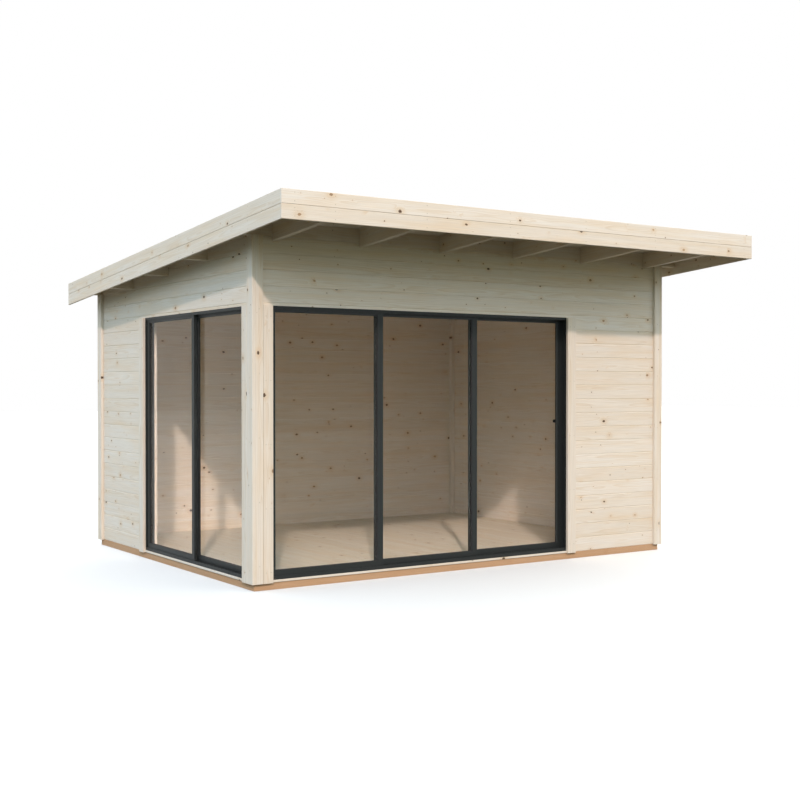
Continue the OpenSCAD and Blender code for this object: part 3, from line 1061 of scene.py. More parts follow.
@dataclass
class Walls:
    """The walls, each of them a stack of boards with V joints on both faces."""

    roof: Roofline
    cover: float = 121.0 * MM
    first_joint: float = 54.0 * MM
    groove: float = 4.0 * MM
    inside_groove: float = 3.0 * MM
    sliver: float = 1.0 * MM

    def build(self) -> None:
        """Make the four walls."""
        corner_low, corner_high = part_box("front_left_corner_wall")
        over_low, over_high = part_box("front_wall_over_doors")
        right_low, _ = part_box("front_wall_right")
        back_low, back_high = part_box("back_wall")
        base, head = corner_low.z, over_low.z
        front_y = (over_low.y, over_high.y)
        cells = self._front_or_back(over_low.x, over_high.x, front_y,
                                    ((over_low.x, corner_high.x, base),
                                     (corner_high.x, right_low.x, head),
                                     (right_low.x, over_high.x, base)))
        self._wall("front_wall_boards", 21, cells, front_y, (0, 2, 1), "front_wall_right",
                   "front_wall_over_doors", "front_left_corner_wall")
        back_y = (back_high.y, back_low.y)
        cells = self._front_or_back(back_low.x, back_high.x, back_y,
                                    ((back_low.x, back_high.x, base),))
        self._wall("back_wall_boards", 22, cells, back_y, (0, 2, 1), "back_wall")
        side_y = (front_y[1], back_low.y)
        left_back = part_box("left_wall_back")[0].y
        cells = self._side("lookouts_left", ((side_y[0], corner_high.y, base),
                                             (corner_high.y, left_back, head),
                                             (left_back, side_y[1], base)))
        left_x = (over_low.x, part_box("left_wall_over_doors")[1].x)
        self._wall("left_wall_boards", 23, cells, left_x, (1, 2, 0), "left_wall_back",
                   "left_wall_over_doors")
        cells = self._side("lookouts_right", ((side_y[0], side_y[1], base),))
        wall_low, wall_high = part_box("right_wall")
        self._wall("right_wall_boards", 24, cells, (wall_high.x, wall_low.x), (1, 2, 0),
                   "right_wall")

    def _wall(self, name: str, seed: int, cells: Sequence[Cell], depths: Pair,
              axes: tuple[int, int, int], *nodes: str) -> None:
        """Make one wall out of its cells.

        Args:
            name: The piece's name.
            seed: The seed for its boards.
            cells: The wall's outline.
            depths: Its outer and inner face.
            axes: The axes along, across and through its boards.
            *nodes: The nodes that it stands for.
        """
        lowest = min(min(cell.low0, cell.low1) for cell in cells)
        highest = max(max(cell.high0, cell.high1) for cell in cells)
        joints = levels(lowest, self.first_joint + self.cover, highest - self.sliver,
                        self.cover) + [highest + self.sliver]
        timber = Timber(seed)
        planking(timber, cells, joints, depths, axes, self.groove, self.inside_groove)
        settle(timber.object(name, SPRUCE), "spruce", *nodes)

    def _front_or_back(self, x0: float, x1: float, faces: Pair,
                       stretches: Sequence[tuple[float, float, float]]) -> list[Cell]:
        """Return the outline of a wall across the rafters.

        Args:
            x0: The wall's left end.
            x1: Its right end.
            faces: Its outer and inner face.
            stretches: For each stretch its start, its end and its lower edge.

        Returns:
            The wall's cells.
        """
        middle = sum(faces) / 2
        under = self.roof.under_boards(middle)
        tops = []
        for low, high in solids("rafters", 0):
            tops.append((low, high, under - RAFTER_H))
        for node in ("lookouts_left", "lookouts_right"):
            low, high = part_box(node)
            tops.append((max(low.x, x0), min(high.x, x1), under - END_LOOKOUT_H))
        return notched(stretches, tops, lambda _: under)

    def _side(self, node: str, stretches: Sequence[tuple[float, float, float]]) -> list[Cell]:
        """Return the outline of a wall that runs up the slope, under the cross rafters."""
        tops = []
        for low, high in solids(node, 1)[1:-1]:
            tops.append((low, high, self.roof.under_boards((low + high) / 2) - LOOKOUT_H))
        return notched(stretches, tops, self.roof.under_boards)


def solids(node: str, axis: int) -> list[Pair]:
    """Return where the separate solids of a node lie along an axis, in order."""
    spots = sorted(v.co[axis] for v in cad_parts[node].data.vertices)
    edges = [spots[0]]
    for a, b in zip(spots, spots[1:]):
        if b - a > 1.0 * MM:
            edges += [b]
    return list(zip(edges[0::2], edges[1::2]))


def notched(stretches: Sequence[tuple[float, float, float]],
            tops: Sequence[tuple[float, float, float]],
            roof_at: Callable[[float], float]) -> list[Cell]:
    """Return the cells of a wall whose top follows the roof, less its notches.

    Args:
        stretches: For each stretch its start, its end and its lower edge.
        tops: For each notch its start, its end and the level of the notch.
        roof_at: The level of the top elsewhere.

    Returns:
        The cells, in order.
    """
    cells = []
    for start, end, low in stretches:
        places = {start, end}
        for a, b, _ in tops:
            places |= {x for x in (a, b) if start < x < end}
        ordered = sorted(places)
        for a, b in zip(ordered, ordered[1:]):
            level = [top for t0, t1, top in tops if t0 - 0.1 * MM <= a and b <= t1 + 0.1 * MM]
            high = (level[0], level[0]) if level else (roof_at(a), roof_at(b))
            cells.append(Cell(a, b, low, low, high[0], high[1]))
    return cells


@dataclass
class Floor:
    """Floor boards that run from the front to the back, cut round the door frames."""

    cover: float = 96.0 * MM
    groove: float = 1.2 * MM
    narrowest: float = 10.0 * MM

    def build(self) -> None:
        """Make the floor."""
        low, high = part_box("floor_boards")
        front_low, front_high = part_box("front_door_frame")
        left_low, left_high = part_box("left_door_frame")
        cells = [Cell(low.y, front_high.y, low.x, low.x, front_low.x, front_low.x),
                 Cell(low.y, front_high.y, front_high.x, front_high.x, high.x, high.x),
                 Cell(front_high.y, left_low.y, low.x, low.x, high.x, high.x),
                 Cell(left_low.y, left_high.y, left_high.x, left_high.x, high.x, high.x),
                 Cell(left_high.y, high.y, low.x, low.x, high.x, high.x)]
        joints = levels(low.x, low.x + self.cover, high.x - self.narrowest,
                        self.cover) + [high.x]
        timber = Timber(31)
        planking(timber, cells, joints, (high.z, low.z), (1, 0, 2), self.groove, self.groove)
        settle(timber.object("floor_planks", FLOORING), "floor_wood", "floor_boards")


@dataclass
class Cladding:
    """Corner boards and door trims, with rounded edges."""

    edge: float = 3.0 * MM
    board: float = 26.0 * MM
    corner_screws: int = 6
    corner_end: float = 100.0 * MM
    stagger: float = 30.0 * MM
    trim_screws: int = 5
    trim_end: float = 80.0 * MM

    def build(self) -> list[Screw]:
        """Make the corner boards and the trims.

        Returns:
            The places and directions of their screws.
        """
        screws: list[Screw] = []
        for seed, corner in enumerate(("front_left", "front_right", "back_left", "back_right")):
            screws += self._corner("corner_boards_" + corner, 41 + seed, "left" in corner,
                                   "front" in corner)
        for seed, node in enumerate(("front_door_trim_left", "front_door_trim_right",
                                     "left_door_trim_front", "left_door_trim_back")):
            low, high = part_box(node)
            timber = Timber(51 + seed)
            timber.member(tuple(low), tuple(high), 2, self.edge, 3)
            settle(timber.object(node.replace("door_trim", "trim_board"), SPRUCE), "spruce", node)
            screws += self._trim_screws(low, high, node.startswith("front"))
        return screws

    def _corner(self, node: str, seed: int, at_left: bool, at_front: bool) -> list[Screw]:
        """Make a corner's two boards, of which the one on the side wall laps the other."""
        low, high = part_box(node)
        x_side = (low.x, low.x + self.board) if at_left else (high.x - self.board, high.x)
        x_face = (x_side[1], high.x) if at_left else (low.x, x_side[0])
        y_face = (low.y, low.y + self.board) if at_front else (high.y - self.board, high.y)
        timber = Timber(seed)
        timber.member((x_side[0], low.y, low.z), (x_side[1], high.y, high.z), 2, self.edge, 3)
        timber.member((x_face[0], y_face[0], low.z), (x_face[1], y_face[1], high.z), 2,
                      self.edge, 3)
        settle(timber.object(node.replace("corner_boards", "corner"), SPRUCE), "spruce", node)
        x_out = low.x if at_left else high.x
        y_out = low.y if at_front else high.y
        x_way, y_way = (-1.0 if at_left else 1.0), (-1.0 if at_front else 1.0)
        places = []
        for z in spread(low.z, high.z, self.corner_end, self.corner_screws):
            places.append(((x_out, (low.y + high.y) / 2, z), (x_way, 0.0, 0.0)))
            places.append(((sum(x_face) / 2, y_out, z + self.stagger), (0.0, y_way, 0.0)))
        return places

    def _trim_screws(self, low: Vector, high: Vector, on_front: bool) -> list[Screw]:
        """Return where the screws of a trim go, in pairs up its face."""
        places = []
        along, through = (0, 1) if on_front else (1, 0)
        out = spot((through,), (-1.0,))
        for z in spread(low.z, high.z, self.trim_end, self.trim_screws):
            for share in (0.25, 0.75):
                across = low[along] + share * (high[along] - low[along])
                places.append((spot((along, through, 2), (across, low[through], z)), out))
        return places


@dataclass
class SillBoards:
    """The boards under the door frames, each with a rounded nose between the trims."""

    edge: float = 3.0 * MM
    nose_start: float = 34.0 * MM
    nose_back: float = 4.0 * MM
    body_lift: float = 2.0 * MM
    nose_drop: float = 0.1 * MM

    def build(self) -> None:
        """Make both sill boards."""
        for seed, (node, frame_node, other) in enumerate((
                ("front_sill_board", "front_door_frame", "front_door_trim_right"),
                ("left_sill_board", "left_door_frame", "left_door_trim_back"))):
            low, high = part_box(node)
            deep_low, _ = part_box(frame_node)
            on_front = node.startswith("front")
            along, through = (0, 1) if on_front else (1, 0)
            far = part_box(other)[0][along]
            timber = Timber(61 + seed)
            body_low, nose_low, nose_high = list(low), list(low), list(high)
            body_low[through] = deep_low[through]
            body_low[2] = low[2] + self.body_lift
            timber.member(tuple(body_low), tuple(high), along, 1.0 * MM)
            nose_low[along] += self.nose_start
            nose_high[along] = far
            nose_high[through] = deep_low[through] + self.nose_back
            nose_high[2] -= self.nose_drop
            timber.member(tuple(nose_low), tuple(nose_high), along, self.edge, 4)
            settle(timber.object(node.replace("_board", "_nosing"), SPRUCE), "spruce", node)


@dataclass
class InnerPosts:
    """Posts and linings beside the doors, and square battens in the other corners."""

    edge: float = 2.5 * MM
    lining: float = 28.0 * MM
    batten: float = 45.0 * MM
    width: float = 90.0 * MM
    lap: float = 14.0 * MM
    filler: float = 20.0 * MM
    gap: float = 0.2 * MM

    def build(self) -> None:
        """Make the posts, the linings and the battens."""
        low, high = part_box("inner_posts")
        front_low, front_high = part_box("front_door_frame")
        left_low, left_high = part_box("left_door_frame")
        wall_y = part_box("front_wall_over_doors")[1].y
        wall_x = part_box("left_wall_over_doors")[1].x
        base, head = low.z, front_high.z
        lap, lining, width = self.lap, self.lining, self.width
        timber = Timber(71)

        def post(x0: float, y0: float, x1: float, y1: float, top: float = head) -> None:
            """Add one upright between two corners in plan."""
            timber.member((x0, y0, base), (x1, y1, top), 2, self.edge, 3)

        # The corner between the doors: a post, and a lining over each frame
        post(wall_x, wall_y, front_low.x, left_low.y)
        post(left_high.x + self.gap, front_high.y, front_low.x + lap, front_high.y + lining)
        post(left_high.x, front_high.y + lining, left_high.x + lining, left_low.y + lap)
        post(front_low.x - self.filler, wall_y, front_low.x, front_high.y)
        # Beside the far end of each door
        post(front_high.x, wall_y, front_high.x + width, front_high.y)
        post(front_high.x - lap, front_high.y, front_high.x + width, front_high.y + lining)
        post(wall_x, left_high.y, left_high.x, left_high.y + width)
        post(left_high.x, left_high.y - lap, left_high.x + lining, left_high.y + width)
        # Battens, the taller of which stand nearer the front
        roof = Roofline()
        back = high.y
        for x0, y0, x1, y1 in ((high.x - self.batten, wall_y, high.x, wall_y + self.batten),
                               (high.x - self.batten, back - self.batten, high.x, back),
                               (wall_x, back - self.batten, wall_x + self.batten, back)):
            post(x0, y0, x1, y1, roof.under_boards(y1) - RAFTER_H)
        settle(timber.object("inner_uprights", SPRUCE), "spruce", "inner_posts")


@dataclass
class Roof:
    """Rafters, cross rafters, roof boards, felt and fascia."""

    roof: Roofline
    edge: float = 2.5 * MM
    plank: float = 96.0 * MM
    joint: float = 1.5 * MM
    lap: float = 1.6 * MM
    sheet: float = 1.0
    fascia_edge: float = 3.5 * MM
    board_height: float = 100.0 * MM
    board_gap: float = 1.0 * MM
    set_back: float = 1.0 * MM
    felt: float = 4.0 * MM
    felt_steps: int = 60
    sheet_lap: float = 60.0 * MM
    least_sheet: float = 10.0 * MM
    wave: float = 2.0 * MM
    bevel: Pair = (2.0 * MM, 0.2 * MM)
    far_sink: Pair = (0.5 * MM, 0.4 * MM)
    screw_levels: Pair = (0.22, 0.78)
    front_screw_end: float = 100.0 * MM
    side_screw_starts: Pair = (100.0 * MM, 480.0 * MM)
    side_screw_end: float = 80.0 * MM

    def build(self, repeater: Repeater) -> list[Screw]:
        """Make the whole roof.

        Args:
            repeater: The tree that repeats rafters and planks.

        Returns:
            The places and directions of the fascia's screws.
        """
        self._rafters(repeater)
        self._lookouts()
        self._planks(repeater)
        self._felt()
        return self._fascia()

    def _slope(self, thing: bpy.types.Object, node: str) -> None:
        """Lower each point of a spruce piece to the slope, and settle it for its node."""
        for vertex in thing.data.vertices:
            vertex.co = self.roof.bend(tuple(vertex.co))
        settle(thing, "spruce", node)

    def _rafters(self, repeater: Repeater) -> None:
        """Make the rafters, which run from the front fascia to the back one."""
        low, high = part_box("rafters")
        places = solids("rafters", 0)
        top = self.roof.top - self.roof.boards_low
        one = one_board((places[0][0], low.y, top - RAFTER_H), (places[0][1], high.y, top), 1,
                        self.edge)
        pitch = (places[-1][0] - places[0][0]) / (len(places) - 1)
        rafters = repeater.run(one, "rafter_set", Count=len(places), Pitch=(pitch, 0.0, 0.0),
                               Seed=8, Material=material(SPRUCE))
        self._slope(rafters, "rafters")

    def _lookouts(self) -> None:
        """Make the short cross rafters on both sides."""
        for seed, node in enumerate(("lookouts_left", "lookouts_right")):
            low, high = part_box(node)
            timber = Timber(81 + seed)
            places = solids(node, 1)
            top = self.roof.top - self.roof.boards_low
            for i, (a, b) in enumerate(places):
                tall = END_LOOKOUT_H if i in (0, len(places) - 1) else LOOKOUT_H
                timber.member((low.x, a, top - tall), (high.x, b, top), 0, self.edge,
                              bend=self.roof.bend)
            settle(timber.object(node.replace("lookouts", "cross_rafters"), SPRUCE), "spruce",
                   node)

    def _planks(self, repeater: Repeater) -> None:
        """Make the roof boards, which run along the front, edge to edge up the slope."""
        low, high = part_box("roof_boards")
        count = round((high.y - low.y) / self.plank)
        pitch = (high.y - low.y) / count
        top = self.roof.top - self.roof.felt_drop - self.felt
        bottom = self.roof.top - self.roof.boards_low
        one = one_board((low.x, low.y, bottom), (high.x, low.y + pitch - self.joint * 0.2, top),
                        0, self.joint)
        planks = repeater.run(one, "roof_planks", Count=count, Pitch=(0.0, pitch, 0.0), Seed=9,
                              Material=material(SPRUCE))
        self._slope(planks, "roof_boards")

    def _felt(self) -> None:
        """Make the felt, whose sheets run along the front and lap like tiles."""
        low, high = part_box("roof_felt")
        shell = Shell()
        rng = random.Random(91)
        top = self.roof.top - self.roof.felt_drop
        bottom = top - self.felt
        count = math.ceil((high.y - low.y - self.least_sheet) / self.sheet)
        steps = self.felt_steps
        edges = [low.y + i * (high.y - low.y) / count for i in range(count + 1)]
        waves = [[rng.uniform(-self.wave, self.wave) for _ in range(steps + 1)] for _ in edges]
        for i, (near, far) in enumerate(zip(edges, edges[1:])):
            rings = []
            for k in range(steps + 1):
                x = low.x + k * (high.x - low.x) / steps
                wave = 0.0 if i == 0 else waves[i][k]
                end = min(far + self.sheet_lap, high.y)
                start = near + wave
                ring = [(x, start, bottom), (x, end, bottom - self.far_sink[0]),
                        (x, end, top - self.lap - self.far_sink[1]),
                        (x, start + self.bevel[0], top - self.bevel[1]),
                        (x, start, top - self.lap)]
                rings.append([self.roof.bend(p) for p in ring])
            shell.rings(rings)
        settle(shell.object("felt_sheets", FELT), "roof_felt", "roof_felt")

    def _fascia(self) -> list[Screw]:
        """Make the fascia boards: two on each side, and one along the low edge."""
        screws: list[Screw] = []
        stops = {"front": (0, (0.0, -1.0, 0.0)), "back": (0, (0.0, 1.0, 0.0)),
                 "left": (1, (-1.0, 0.0, 0.0)), "right": (1, (1.0, 0.0, 0.0))}
        for seed, (side, (along, out)) in enumerate(stops.items()):
            node = "fascia_" + side
            low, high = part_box(node)
            lows, highs = list(low), list(high)
            through = 1 - along
            if out[through] < 0:
                lows[through] += self.set_back
            else:
                highs[through] -= self.set_back
            timber = Timber(101 + seed)
            rows = 1 if side == "back" else 2
            for i in range(rows):
                highs[2] = self.roof.top - i * (self.board_height + self.board_gap)
                lows[2] = highs[2] - self.board_height
                timber.member(tuple(lows), tuple(highs), along, self.fascia_edge, 3,
                              self.roof.bend)
            settle(timber.object(node.replace("fascia", "eaves_boards"), SPRUCE), "spruce", node)
            screws += self._fascia_screws(low, high, along, out, rows)
        return screws

    def _fascia_screws(self, low: Vector, high: Vector, along: int, out: Point,
                       rows: int) -> list[Screw]:
        """Return the places of the fascia's screws, where the rafters end behind it."""
        behind = solids("lookouts_left" if along else "rafters", along)
        # The sides have one more near the front, where no cross rafter ends behind them
        starts = self.side_screw_starts if along else (self.front_screw_end,)
        end = self.side_screw_end if along else self.front_screw_end
        middles = ([low[along] + start for start in starts] + [(a + b) / 2 for a, b in behind]
                   + [high[along] - end])
        through = 1 - along
        face = (low if out[through] < 0 else high)[through] - out[through] * self.set_back
        places = []
        for middle in middles:
            x, y, _ = spot((along, through), (middle, face))
            for i in range(rows):
                for down in self.screw_levels:
                    drop = i * (self.board_height + self.board_gap) + down * self.board_height
                    places.append(((x, y, self.roof.top_at(y) - drop), out))
        return places


@dataclass
class DoorMap:
    """Turns a door's own measures, along, into and up the wall, into places."""

    node: str
    on_front: bool
    origin: Vector = field(init=False)

    def __post_init__(self) -> None:
        """Start from the lowest corner of the door's frame."""
        self.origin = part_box(self.node)[0]

    def place(self, u: float, v: float, z: float) -> Point:
        """Return the place at u along the wall and v into the room."""
        if self.on_front:
            return (self.origin.x + u, self.origin.y + v, z)
        return (self.origin.x + v, self.origin.y + u, z)

    def spans(self, node: str) -> tuple[Point, Point]:
        """Return a node's lowest and highest u, v and z."""
        low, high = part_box(node)
        ends = []
        for p in (low, high):
            x, y = p.x - self.origin.x, p.y - self.origin.y
            ends.append((x, y, p.z) if self.on_front else (y, x, p.z))
        return ends[0], ends[1]


@dataclass
class Profile:
    """One step of an aluminium section: how far it stands in from each side, and how deep."""

    depth: float
    left: float
    right: float
    bottom: float
    top: float


def even(depth: float, inset: float) -> Profile:
    """Return a step that stands in equally on all four sides."""
    return Profile(depth, inset, inset, inset, inset)


class DoorShell(Shell):
    """A shell whose shapes are given in a door's own measures: u, v and z."""

    def __init__(self, door: DoorMap) -> None:
        """Start with no points."""
        super().__init__()
        self.place = door.place

    def hoop(self, outer: Rect, steps: Sequence[Profile]) -> None:
        """Sweep a section round a rectangle.

        Args:
            outer: The rectangle's u0, z0, u1 and z1.
            steps: The section's corners, in order round the section.
        """
        u0, z0, u1, z1 = outer
        rings = []
        for s in steps:
            a, b, c, d = u0 + s.left, z0 + s.bottom, u1 - s.right, z1 - s.top
            rings.append([self.place(u, s.depth, z) for u, z in ((a, b), (c, b), (c, d), (a, d))])
        self.rings(rings, closed=True)

    def block(self, low: Point, high: Point, edge: float) -> None:
        """Add a box with chamfered edges, from its lowest to its highest corner."""
        rings = []
        for z, inset in ((low[2], edge), (low[2] + edge, 0.0), (high[2] - edge, 0.0),
                         (high[2], edge)):
            section = rounded_rectangle((low[0] + inset, low[1] + inset),
                                        (high[0] - inset, high[1] - inset),
                                        max(edge - inset, 0.05 * edge), 1)
            rings.append([self.place(u, v, z) for u, v in section])
        self.rings(rings)

    def turned(self, centre: Pair, profile: Sequence[Pair], sides: int) -> None:
        """Add a turned shape whose axis runs into the wall.

        Args:
            centre: The axis's u and z.
            profile: Pairs of a depth and a radius, which start and end at a small radius.
            sides: How many sides it has.
        """
        turns = [2.0 * math.pi * i / sides for i in range(sides)]
        self.rings([[self.place(centre[0] + radius * math.cos(turn), depth,
                                centre[1] + radius * math.sin(turn)) for turn in turns]
                    for depth, radius in profile])


class Leaf(Enum):
    """How a door panel moves."""

    FIXED = "fixed"
    SLIDING = "sliding"


@dataclass
class DoorFrame:
    """The aluminium frame round a door, with its tracks."""

    door: DoorMap
    name: str
    tracks: int
    drains: int
    jamb: float = 14.0 * MM
    head: float = 15.0 * MM
    sill: float = 22.0 * MM
    lip: float = 9.0 * MM
    lip_gap: float = 3.0 * MM
    raised: float = 8.0 * MM
    pitch: float = 34.0 * MM
    leaf: float = 28.0 * MM
    rib: float = 2.5 * MM
    rib_drop: float = 1.0 * MM
    shadow: float = 7.0 * MM
    edge: float = 1.2 * MM
    sill_share: float = 0.7
    head_share: float = 0.9
    drain_half: float = 18.0 * MM
    drain_levels: Pair = (7.0 * MM, 15.0 * MM)
    drain_faces: Pair = (-1.5 * MM, 0.5 * MM)
    drain_edge: float = 0.6 * MM
    # Where the black seal sits whose dark colour is painted shade in the head's shadow joint
    painted_shade_seal_faces: Pair = (6.0 * MM, 20.0 * MM)
    painted_shade_seal_edge: float = 0.3 * MM

    def build(self) -> None:
        """Make the frame, and the black seal whose dark colour is painted shade in its head
        joint.
        """
        (u0, v0, z0), (u1, v1, z1) = self.door.spans(self.door.node)
        outer = (u0, z0, u1, z1)
        shell = DoorShell(self.door)
        shell.hoop(outer, self._section(v0, v1))
        self._drains(shell, outer)
        settle(shell.object(self.name, COATING), "dark_aluminium", self.door.node)
        # The black seal stands in for the shade in the head's shadow joint, so it is painted
        # shade as well as a seal
        self._painted_shade_seal(outer)

    def _section(self, v0: float, v1: float) -> list[Profile]:
        """Return the frame's section: lips at both faces and a rib between the tracks."""
        def step(depth: float, more: float, less: float = 0.0) -> Profile:
            """Return a corner of the inner face, more towards the opening and less back."""
            return Profile(depth, self.jamb + more - less, self.jamb + more - less,
                           self.sill + more * self.sill_share - less,
                           self.head + more * self.head_share - less)

        edge, raised = self.edge, self.raised
        lip_end = v0 + self.lip - self.lip_gap
        # The head has a deep shadow joint at its outer face
        section = [even(v0 + edge, 0.0), Profile(v0, edge, edge, edge, self.shadow),
                   step(v0, raised, edge), step(v0 + edge, raised), step(lip_end, raised),
                   step(lip_end + 0.5 * MM, 0.0)]
        for i in range(self.tracks - 1):
            middle = v0 + self.lip + i * self.pitch + self.leaf + (self.pitch - self.leaf) / 2
            for way, more in ((-1.0, 0.0), (-1.0, 1.0), (1.0, 1.0), (1.0, 0.0)):
                foot = 0.4 * MM * (1.0 - more)
                section.append(step(middle + way * (self.rib / 2 + foot),
                                    more * (raised - self.rib_drop)))
        back = v1 - self.lip + self.lip_gap
        return section + [step(back - 0.5 * MM, 0.0), step(back, raised),
                          step(v1 - edge, raised), step(v1, raised - edge), even(v1, edge),
                          even(v1 - edge, 0.0)]

    def _drains(self, shell: DoorShell, outer: Rect) -> None:
        """Add the caps of the drain slots along the sill's outer face."""
        for i in range(self.drains):
            u = outer[0] + (i + 0.5) * (outer[2] - outer[0]) / self.drains
            low, high = [(u + way * self.drain_half, face, outer[1] + level)
                         for way, face, level in zip((-1.0, 1.0), self.drain_faces,
                                                     self.drain_levels)]
            shell.block(low, high, self.drain_edge)

    def _painted_shade_seal(self, outer: Rect) -> None:
        """Add the black seal in the head's shadow joint: a seal, and also painted shade there."""
        # Painted shade: a black block fills the head's shadow joint
        shell = DoorShell(self.door)
        near, far = self.painted_shade_seal_faces
        shell.block((outer[0] + 1.0 * MM, near, outer[3] - self.shadow + 0.5 * MM),
                    (outer[2] - 1.0 * MM, far, outer[3] - 0.3 * MM), self.painted_shade_seal_edge)
        settle(shell.object(self.name + "_painted_shade_seal", RUBBER), "dark_aluminium")


@dataclass
class DoorPanel:
    """A glazed panel: aluminium frame, seals, rollers and, on some, a lock.

    Sections are in millimetres: the seal's are pairs of how far it stands off the glass and
    how far in from the opening, the roller's and the knob's are pairs of a depth and a
    radius. The lock's rose and plate have half their width and height, two depths from the
    panel's face and the size of their edge.
    """

    door: DoorMap
    node: str
    body: str
    kind: Leaf
    lock_at: float | None = None
    bottom_rail: float = 40.0 * MM
    thick: float = 28.0 * MM
    bead: float = 3.0 * MM
    edge: float = 1.2 * MM
    bead_rise: float = 1.0 * MM
    glass_gap: float = 0.4 * MM
    seal: tuple[Pair, ...] = ((0.05, 0.2), (0.05, 4.0), (1.6, 3.4), (3.2, 0.2))
    carriage_starts: Pair = (60.0 * MM, -130.0 * MM)
    carriage_length: float = 70.0 * MM
    carriage_half: float = 5.5 * MM
    carriage_levels: Pair = (-2.2 * MM, 0.9 * MM)
    axle_level: float = 3.3 * MM
    roller: tuple[Pair, ...] = ((-3.0, 6.0), (-3.0, 8.0), (3.0, 8.0), (3.0, 6.0))
    lock_level: float = 1099.7 * MM
    rose: tuple[Pair, Pair, float] = ((13.0, 35.0), (-0.5, 5.0), 2.0)
    plate: tuple[Pair, Pair, float] = ((9.0, 38.0), (-1.8, 0.5), 0.8)
    knob: tuple[Pair, ...] = ((1.0, 6.0), (26.0, 6.0), (27.0, 11.0), (29.5, 13.6),
                              (31.0, 14.0), (41.0, 14.0), (44.0, 12.0), (45.0, 8.0))

    def build(self) -> None:
        """Make the panel's pieces, and give its glass node the glass finish."""
        (g0, gv0, gz0), (g1, gv1, gz1) = self.door.spans(self.node + "_glass")
        (u0, _, z0), (u1, _, z1) = self.door.spans(self.node)
        sliding = self.kind is Leaf.SLIDING
        if sliding:
            z0 = gz0 - self.bottom_rail
        front = (gv0 + gv1) / 2 - self.thick / 2
        outer, opening, glass = (u0, z0, u1, z1), (g0, gz0, g1, gz1), (gv0, gv1)
        shell = DoorShell(self.door)
        shell.hoop(outer, self._section(outer, opening, front, glass))
        if self.lock_at is not None:
            self._lock(shell, front)
        settle(shell.object(self.node + "_frame", COATING), "dark_aluminium", self.node,
               body=self.body)
        self._seals(opening, glass)
        if sliding:
            self._rollers(outer, front + self.thick / 2)
        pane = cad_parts[self.node + "_glass"].data.materials
        pane.clear()
        pane.append(material(GLAZING))

    def _section(self, outer: Rect, opening: Rect, front: float, glass: Pair) -> list[Profile]:
        """Return the panel's section: a chamfered box with a beaded rebate for the glass.

        Args:
            outer: The panel's outline.
            opening: The glass's outline.
            front: The panel's outer face.
            glass: The glass's two faces.

        Returns:
            The section's corners.
        """
        sides = (opening[0] - outer[0], outer[2] - opening[2], opening[1] - outer[1],
                 outer[3] - opening[3])

        def inner(depth: float, less: float) -> Profile:
            """Return a corner at the opening, standing back from it by less."""
            return Profile(depth, *(side - less for side in sides))

        edge, bead, rise, back = self.edge, self.bead, self.bead_rise, front + self.thick
        return [even(front + edge, 0.0), even(front, edge), inner(front, bead + rise),
                inner(front + bead * 0.9, 0.0), inner(glass[0] - self.glass_gap, 0.0),
                inner(glass[1] + self.glass_gap, 0.0), inner(back - bead * 0.9, 0.0),
                inner(back, bead + rise), even(back, edge), even(back - edge, 0.0)]

    def _seals(self, opening: Rect, glass: Pair) -> None:
        """Make the black gaskets on both faces of the glass."""
        shell = DoorShell(self.door)
        for face, way in zip(glass, (-1.0, 1.0)):
            shell.hoop(opening, [even(face + way * out * MM, inset * MM)
                                 for out, inset in self.seal])
        settle(shell.object(self.node + "_seals", RUBBER), "dark_aluminium", body=self.body)

    def _rollers(self, outer: Rect, middle: float) -> None:
        """Make the roller carriages under a sliding panel."""
        shell = DoorShell(self.door)
        half, length = self.carriage_half, self.carriage_length
        low, high = [outer[1] + level for level in self.carriage_levels]
        section = [(middle + depth * MM, radius * MM) for depth, radius in self.roller]
        for end, start in zip((outer[0], outer[2]), self.carriage_starts):
            near = end + start
            shell.block((near, middle - half, low), (near + length, middle + half, high),
                        0.5 * MM)
            for share in (0.25, 0.75):
                shell.turned((near + share * length, outer[1] + self.axle_level), section, 20)
        settle(shell.object(self.node + "_rollers", RUBBER), "dark_aluminium", body=self.body)

    def _lock(self, shell: DoorShell, front: float) -> None:
        """Add the knob and its rose inside, and the cylinder's plate outside."""
        u, z, back = self.lock_at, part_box(self.node)[0].z + self.lock_level, front + self.thick

        def plate(face: float, half: Pair, depths: Pair, edge: float) -> None:
            """Add a plate round the lock's axis."""
            low, high = [(u + way * half[0] * MM, face + depth * MM, z + way * half[1] * MM)
                         for way, depth in zip((-1.0, 1.0), depths)]
            shell.block(low, high, edge * MM)

        plate(back, *self.rose)
        shell.turned((u, z), [(back + out * MM, radius * MM) for out, radius in self.knob], 32)
        plate(front, *self.plate)


@dataclass
class Screws:
    """Screw heads on the trims, the corner boards and the fascia."""

    driver: ScrewDriver
    radius: float = 3.0 * MM
    height: float = 0.7 * MM

    def build(self, name: str, places: Sequence[Screw], seed: int) -> None:
        """Make one piece out of all the heads.

        Args:
            name: The piece's name.
            places: Where they are, and which way they face.
            seed: The seed for their turn.
        """
        host = points_object(name + "_points", places)
        heads = self.driver.run(host, name, Radius=self.radius, Height=self.height, Seed=seed,
                                Material=material(STEEL))
        settle(heads, "dark_aluminium")


